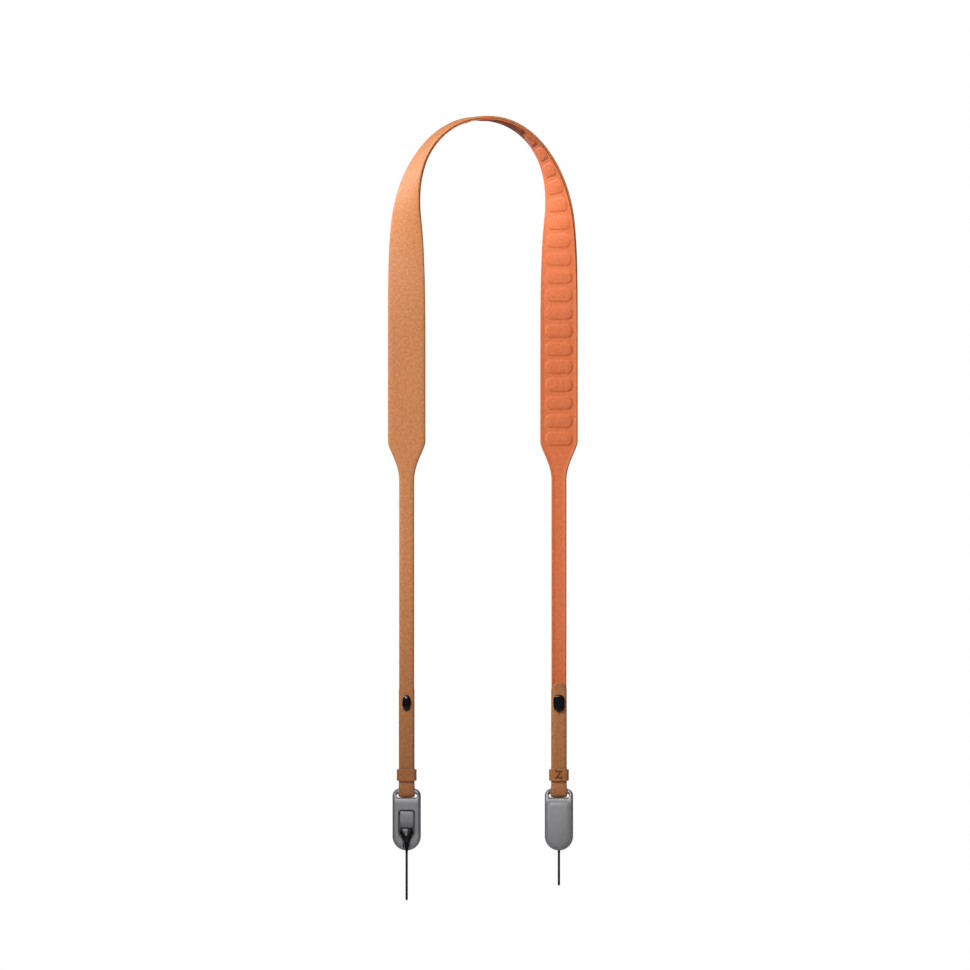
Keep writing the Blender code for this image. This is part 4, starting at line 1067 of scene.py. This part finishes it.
# %% Sizes of the quick release
SHELL_LOW, SHELL_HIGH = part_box("right_housing")
HOUSING_WIDTH = SHELL_HIGH.x - SHELL_LOW.x
HOUSING_HEIGHT = SHELL_HIGH.z - SHELL_LOW.z
FACE = SHELL_HIGH.y
HOUSING_TOP = SHELL_HIGH.z - BAR_LEVEL
BUTTON_LOW, BUTTON_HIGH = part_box("right_button")
BUTTON_BOTTOM_DROP = SHELL_HIGH.z - BUTTON_LOW.z
BUTTON_WIDTH = BUTTON_HIGH.x - BUTTON_LOW.x
BUTTON_HEIGHT = BUTTON_HIGH.z - BUTTON_LOW.z
BUTTON_THICKNESS = BUTTON_HIGH.y - BUTTON_LOW.y
THROAT_LENGTH = HOUSING_HEIGHT - BUTTON_BOTTOM_DROP
TOP_CORNER = 5.6 * MM
TOP_THICKNESS = 5.2 * MM
SHOULDER_DROP = 10.2 * MM
BAR_HALF = 2.02 * MM
SLOT_HALF = 8.15 * MM
SLOT_TOP_DROP = 4.4 * MM
SLOT_LOW_DROP = 7.1 * MM
SLOT_CORNER = 1.1 * MM
BAR_START_DROP = 5.6 * MM              # the slab thins to the bar from here up
HORN_START = 6.7 * MM                  # from the middle: the horns rise beside the leather
HORN_BLEND = 2.6 * MM
BAR_BLEND = 1.4 * MM
FRONT_ROUND = (3.0 * MM, 2.3 * MM)     # how far in and how deep each edge rounds over
BACK_ROUND = (1.9 * MM, 1.9 * MM)
POCKET_WIDTH = 12.2 * MM
POCKET_TOP_DROP = 17.4 * MM
POCKET_FLOOR = FACE - 5.5 * MM
POCKET_RIM = 0.9 * MM
PLATE_BORDER = 1.9 * MM
PLATE_CORNER = 2.6 * MM
PLATE_SEAT = 0.8 * MM                  # depth of the recess for the plate
PLATE_TOP_DROP = SHELL_HIGH.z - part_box("right_back_plate")[1].z - 0.3 * MM
POCKET_THROAT = (
    # share of the throat's length, share of half the pocket's width
    (0.00, 1.00), (0.14, 1.00), (0.29, 0.93), (0.41, 0.71), (0.53, 0.50), (0.62, 0.40), (0.73, 0.43),
    (0.85, 0.39), (0.94, 0.27), (1.00, 0.24), (1.15, 0.24),
)
print(f"housing {HOUSING_WIDTH / MM:.1f} x {HOUSING_HEIGHT / MM:.1f} x {2 * FACE / MM:.1f} mm")

# %% Outline, slot and how thick the housing is


def depth_inside(x, z):
    """How far these places lie inside the outline."""
    half = HOUSING_WIDTH / 2
    low = half - HOUSING_HEIGHT
    corner_x, corner_z = np.abs(x) - half + TOP_CORNER, z + TOP_CORNER
    in_corner = (corner_x > 0) & (corner_z > 0)
    upper = np.where(in_corner, TOP_CORNER - np.hypot(corner_x, corner_z), np.minimum(half - np.abs(x), -z))
    return np.where(z < low, half - np.hypot(x, z - low), upper)


def beyond_slot(x, z):
    """How far these places lie outside the slot, and how much they lie above or below rather than beside it."""
    middle, tall = (SLOT_TOP_DROP + SLOT_LOW_DROP) / 2, (SLOT_LOW_DROP - SLOT_TOP_DROP) / 2
    across = np.abs(x) - SLOT_HALF + SLOT_CORNER
    up = np.abs(z + middle) - tall + SLOT_CORNER
    out = np.hypot(np.maximum(across, 0), np.maximum(up, 0))
    distance = out + np.minimum(np.maximum(across, up), 0) - SLOT_CORNER
    return distance, np.maximum(up, 0) / np.maximum(out, 1e-9)


def rounded_over(depth, reach, drop):
    """How far a face sinks towards an edge that rounds over: a quarter of an ellipse."""
    share = np.clip(1 - depth / reach, 0, 1)
    return drop * (1 - np.sqrt(1 - np.minimum(share, 0.999) ** 2))


def face_height(x, z, front):
    taper = np.mean([np.clip(1 + (z + n) / SHOULDER_DROP, 0, 1) for n in np.linspace(-1.6, 1.6, 9) * MM], axis=0)
    body = FACE + taper * (TOP_THICKNESS / 2 - FACE)
    beside_leather = smooth((np.abs(x) - HORN_START) / HORN_BLEND)
    over_slot = smooth((z + BAR_START_DROP) / BAR_BLEND)
    base = body + over_slot * (1 - beside_leather) * (BAR_HALF - body)
    reach, drop = FRONT_ROUND if front else BACK_ROUND
    drop = np.minimum(drop, 0.97 * base)
    height = base - rounded_over(depth_inside(x, z), np.minimum(reach, drop * 1.4), drop)
    outside, upright = beyond_slot(x, z)
    below = upright * (z < -(SLOT_TOP_DROP + SLOT_LOW_DROP) / 2)
    lip_reach = (0.7 + 1.3 * (upright - below) + 0.7 * below) * MM
    lip_drop = np.minimum((0.7 + 2.1 * (upright - below) + 1.1 * below) * MM, 0.95 * base)
    return np.maximum(height - rounded_over(outside, lip_reach, lip_drop), 0.04 * MM)


def rim_points(distance):
    """Points that lie this far inside the outline."""
    half = HOUSING_WIDTH / 2
    rim = np.array(
        arc((half - TOP_CORNER, -TOP_CORNER), TOP_CORNER, 0, 90, 24)
        + arc((TOP_CORNER - half, -TOP_CORNER), TOP_CORNER, 90, 180, 24)
        + [(-half, z) for z in np.linspace(-TOP_CORNER, half - HOUSING_HEIGHT, 48)[1:-1]]
        + arc((0.0, half - HOUSING_HEIGHT), half, 180, 360, 96)
        + [(half, z) for z in np.linspace(half - HOUSING_HEIGHT, -TOP_CORNER, 48)[1:-1]]
    )
    return widened(rim, -distance) if distance else rim


def slot_points(distance):
    middle, tall = (SLOT_TOP_DROP + SLOT_LOW_DROP) / 2, (SLOT_LOW_DROP - SLOT_TOP_DROP) / 2
    half, radius = SLOT_HALF + distance, SLOT_CORNER + distance
    top, low = tall + distance - middle, -middle - tall - distance
    points = [(x, top) for x in np.linspace(half - radius, radius - half, 34)]
    points += arc((radius - half, top - radius), radius, 90, 180, 10)[1:]
    points += arc((radius - half, low + radius), radius, 180, 270, 10)
    points += [(x, low) for x in np.linspace(radius - half, half - radius, 34)[1:]]
    points += arc((half - radius, low + radius), radius, 270, 360, 10)[1:]
    points += arc((half - radius, top - radius), radius, 0, 90, 10)[:-1]
    return np.array(points)


def housing_blank():
    rim, hole = rim_points(0.0), slot_points(0.0)
    inner = [rim_points(d * MM) for d in (0.05, 0.18, 0.4, 0.7, 1.1, 1.6, 2.2, 3.0, 4.0)]
    inner += [slot_points(d * MM) for d in (0.05, 0.18, 0.4, 0.7, 1.1, 1.6, 2.2, 3.0)]
    grid = np.stack(np.meshgrid(np.arange(-10, 10.1, 1.0), np.arange(-48, 0, 1.0)), axis=-1).reshape(-1, 2) * MM
    loose = np.concatenate(inner + [grid])
    spare = beyond_slot(loose[:, 0], loose[:, 1])[0]
    deep = depth_inside(loose[:, 0], loose[:, 1])
    loose = loose[(spare > 0.04 * MM) & (deep > 0.04 * MM)]
    points = np.concatenate([rim, hole, loose])
    a, b = len(rim), len(hole)
    borders = [(i, (i + 1) % a) for i in range(a)] + [(a + i, a + (i + 1) % b) for i in range(b)]
    verts, _, faces, _, _, _ = delaunay_2d_cdt([Vector(p) for p in points], borders, [], 0, 1e-7)
    flat = np.array([tuple(v) for v in verts])
    kept = []
    for face in faces:
        x, z = flat[list(face)].mean(axis=0)
        if depth_inside(x, z) > 0 and beyond_slot(x, z)[0] > 0:
            kept.append(list(face))
    count = len(flat)
    front = np.stack([flat[:, 0], face_height(flat[:, 0], flat[:, 1], True), flat[:, 1]], axis=1)
    back = np.stack([flat[:, 0], -face_height(flat[:, 0], flat[:, 1], False), flat[:, 1]], axis=1)
    uses = {}
    for face in kept:
        for i, j in zip(face, face[1:] + face[:1]):
            uses[(i, j)] = uses.get((i, j), 0) + 1
    sides = [(j, i, i + count, j + count) for i, j in uses if (j, i) not in uses]
    every = kept + [[i + count for i in reversed(face)] for face in kept] + sides
    mesh = new_mesh("housing", np.concatenate([front, back]), every)
    bm = bmesh.new()
    bm.from_mesh(mesh)
    bmesh.ops.delete(bm, geom=[v for v in bm.verts if not v.link_faces], context="VERTS")
    bmesh.ops.recalc_face_normals(bm, faces=bm.faces)
    bm.to_mesh(mesh)
    bm.free()
    return mesh


print(f"the bar is {2 * BAR_HALF / MM:.1f} mm thick")

# %% Housing


def pocket_outline():
    half = POCKET_WIDTH / 2
    corner = 2.0 * MM
    points = arc((half - corner, -POCKET_TOP_DROP - corner), corner, 0, 90, 10)
    points += arc((corner - half, -POCKET_TOP_DROP - corner), corner, 90, 180, 10)
    shares = np.array(POCKET_THROAT)
    knots = [np.array((-half * w, -BUTTON_BOTTOM_DROP - d * THROAT_LENGTH, 0.0)) for d, w in shares]
    left = [tuple(p[:2]) for p in smooth_route(knots, 44)]
    return points + left + [(-x, z) for x, z in reversed(left)]


def pocket_cutter():
    outline = pocket_outline()
    levels = [(POCKET_FLOOR, 0.0), (FACE - POCKET_RIM, 0.0)]
    # The rim is a small round, with a straight run out above the face.
    for turned in np.linspace(0.15, 1, 6) * math.pi / 2:
        levels.append((FACE - POCKET_RIM * math.cos(turned), POCKET_RIM * (1 - math.cos(turned)) * 0.9))
    levels.append((FACE + 0.5 * MM, 1.3 * MM))
    return outwards(skin("pocket", [[(x, y, z) for x, z in widened(outline, out)] for y, out in levels]))


def plate_outline(inset):
    half = HOUSING_WIDTH / 2 - PLATE_BORDER - inset
    top = -PLATE_TOP_DROP - inset
    cut_off = PLATE_CORNER - inset * (2 - math.sqrt(2))
    corners = [(half, top - cut_off), (half - cut_off, top), (cut_off - half, top), (-half, top - cut_off)]
    return corners + arc((0.0, HOUSING_WIDTH / 2 - HOUSING_HEIGHT), half, 180, 360, 64)


def housing_mesh():
    recess = flat_solid(plate_outline(0.0), 2 * PLATE_SEAT)
    recess.transform(Matrix.Translation((0, -FACE, 0)))
    cutters = [scratch(pocket_cutter(), "pocket"), scratch(recess, "recess")]
    return cut(housing_blank(), cutters, "housing", crosses_itself=False)


add_ends("quick_release_shell", "housing", housing_mesh(), [SHELL], (0, 0, HOUSING_TOP), sharp=28)

# %% Cover plate, button and anchor
PLATE_FACE = abs(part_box("right_back_plate")[0].y)
ANCHOR_LOW, ANCHOR_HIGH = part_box("right_anchor")
ANCHOR_WIDTH = ANCHOR_HIGH.x - ANCHOR_LOW.x
ANCHOR_HALF_DEPTH = (ANCHOR_HIGH.y - ANCHOR_LOW.y) / 2
BUTTON_CORNER = 1.6 * MM
BUTTON_EDGE = 0.45 * MM
RAMP_START = 4.6 * MM                  # above the button's lower end
RAMP_HEIGHT = 3.9 * MM
RAMP_FOOT = 0.8 * MM                   # what is left of the button's thickness below the ramp
ANCHOR_SECTIONS = (
    # share of length, share of half width, share of half thickness
    (0.00, 0.30, 0.14), (0.008, 0.58, 0.25), (0.03, 0.84, 0.36), (0.07, 0.96, 0.46), (0.11, 1.00, 0.55),
    (0.15, 1.00, 0.625), (0.19, 0.97, 0.70), (0.23, 0.92, 0.775), (0.27, 0.86, 0.85), (0.31, 0.78, 0.92),
    (0.36, 0.68, 0.98), (0.40, 0.60, 1.00), (0.46, 0.48, 0.97), (0.55, 0.345, 0.88), (0.63, 0.33, 0.85),
    (0.70, 0.31, 0.88), (0.79, 0.26, 0.93), (0.87, 0.21, 0.98), (1.00, 0.185, 1.00),
)


def plate_mesh():
    levels = (
        # height over the inner face, how far the outline is drawn in
        (0.0, 0.25), (0.45, 0.25), (0.58, 0.29), (0.60, 0.36), (0.87, 2.55), (0.90, 2.75),
    )
    return outwards(skin("plate", [[(x, -h * MM, z) for x, z in plate_outline(i * MM)] for h, i in levels]))


def button_mesh():
    half_x, half_z = BUTTON_WIDTH / 2, BUTTON_HEIGHT / 2
    outline = rounded_rectangle(-half_x, half_x, -half_z, half_z, BUTTON_CORNER)
    mesh = bevelled(flat_solid(outline, BUTTON_THICKNESS), BUTTON_EDGE, 4)
    ramp_top, ramp_drop = RAMP_START - half_z, BUTTON_THICKNESS - RAMP_FOOT
    bm = bmesh.new()
    bm.from_mesh(mesh)
    for height in np.linspace(-0.5, 0.5, 5) * MM + ramp_top:
        everything = list(bm.verts) + list(bm.edges) + list(bm.faces)
        bmesh.ops.bisect_plane(bm, geom=everything, plane_co=(0, 0, height), plane_no=(0, 0, 1))
    for vertex in bm.verts:
        if vertex.co.y > 0:
            reach = np.clip((ramp_top - vertex.co.z + np.linspace(-0.5, 0.5, 9) * MM) / RAMP_HEIGHT, 0, 1.2)
            vertex.co.y -= float(np.mean(reach)) * ramp_drop
    bm.to_mesh(mesh)
    bm.free()
    return mesh


def anchor_mesh():
    length = ANCHOR_HIGH.z - ANCHOR_LOW.z
    knots = [np.array(section) for section in ANCHOR_SECTIONS]
    rings = []
    for down, wide, thick in smooth_route(knots, 90):
        outline = oval(max(wide, 0.02) * ANCHOR_WIDTH / 2, max(thick, 0.02) * ANCHOR_HALF_DEPTH, 1.85, 48)
        rings.append([(x, y, -down * (length + 0.35 * MM)) for x, y in outline])
    return outwards(skin("anchor", rings))


add_ends("cover_plate", "back_plate", plate_mesh(), [SHELL],
         (0, -PLATE_FACE + 0.9 * MM, HOUSING_TOP), sharp=12)
button_middle = (0, (BUTTON_LOW.y + BUTTON_HIGH.y) / 2, (BUTTON_LOW.z + BUTTON_HIGH.z) / 2 - BAR_LEVEL)
add_ends("release_button", "button", button_mesh(), [BUTTON_COAT], button_middle, "button", 30)
add_ends("anchor_drop", "anchor", anchor_mesh(), [ANCHOR_BLACK],
         (0, ANCHOR_OUT, ANCHOR_HIGH.z - BAR_LEVEL), sharp=60)

# %% [markdown]
# ## Floor and light
#
# The strap hangs in front of plain white. A spot high on the left is flagged off towards the bottom, so
# the strap grows darker there. A second, narrow spot skims the arch's left shoulder from behind. A soft
# light fills from the front and a weaker one from the back. Hardly any light comes from the sides, so
# steep edges stay dark: the world is white to the camera and dim to the strap, most at the sides.

# %% Floor
FLOOR_Z = -0.75
bm = bmesh.new()
bmesh.ops.create_circle(bm, cap_ends=True, segments=96, radius=1.0)
bmesh.ops.translate(bm, verts=bm.verts, vec=(0, 0, FLOOR_Z))
floor_mesh = finished(bm, "floor")
floor = bpy.data.objects.new("floor", floor_mesh)
scene.collection.objects.link(floor)
floor_material, _, floor_shader = new_material("pale_floor")
floor_shader.inputs["Base Color"].default_value = colour("f4f4f4")
floor_shader.inputs["Roughness"].default_value = 0.9
floor_mesh.materials.append(floor_material)

# %% Lights


def aim(name, light, place, target):
    lamp = bpy.data.objects.new(name, light)
    lamp.location = place
    lamp.rotation_euler = (Vector(target) - Vector(place)).to_track_quat("-Z", "Y").to_euler()
    scene.collection.objects.link(lamp)
    return lamp


def soft_light(name, place, target, size, watts, tint="ffffff"):
    light = bpy.data.lights.new(name, "AREA")
    light.shape = "SQUARE"
    light.size = size
    light.energy = watts
    light.color = colour(tint)[:3]
    return aim(name, light, place, target)


def flagged_spot(name, place, target, angle, blend, radius, watts):
    light = bpy.data.lights.new(name, "SPOT")
    light.spot_size = math.radians(angle)
    light.spot_blend = blend
    light.shadow_soft_size = radius
    light.energy = watts
    return aim(name, light, place, target)


flagged_spot("key", (-1.15, -1.25, 0.75), (-0.05, 0.0, -0.15), 17.2, 0.34, 0.10, 150.0)
soft_light("front", (-0.35, -2.15, 0.7), (0.0, 0.0, -0.35), 0.7, 17.0)
soft_light("sky", (-0.9, -0.7, 0.35), (0.0, 0.0, -0.3), 0.6, 1.8, "dfe9ff")
flagged_spot("rim", (-1.3, 0.6, 0.5), (-0.055, 0.0, -0.02), 8.0, 1.0, 0.15, 260.0)
soft_light("back", (-0.3, 2.2, -0.1), (0.0, 0.0, -0.3), 0.7, 4.0)

world = bpy.data.worlds.new("studio")
world.use_nodes = True
scene.world = world
sky = world.node_tree
sky.nodes.clear()
way = add(sky, "ShaderNodeSeparateXYZ", {0: add(sky, "ShaderNodeTexCoord").outputs["Generated"]})
aside = maths(sky, "ABSOLUTE", way.outputs["X"])
dim = add(sky, "ShaderNodeMapRange",
          {"Value": aside, "From Min": 0.35, "From Max": 0.9, "To Min": 0.16, "To Max": 0.03})
to_camera = add(sky, "ShaderNodeBackground", {"Color": (1, 1, 1, 1), "Strength": 1.0})
to_object = add(sky, "ShaderNodeBackground", {"Color": colour("f2f4f8"), "Strength": dim})
seen = add(sky, "ShaderNodeLightPath")
mixed = add(sky, "ShaderNodeMixShader", {0: seen.outputs["Is Camera Ray"], 1: to_object, 2: to_camera})
add(sky, "ShaderNodeOutputWorld", {"Surface": mixed})
scene.view_settings.view_transform = "Standard"
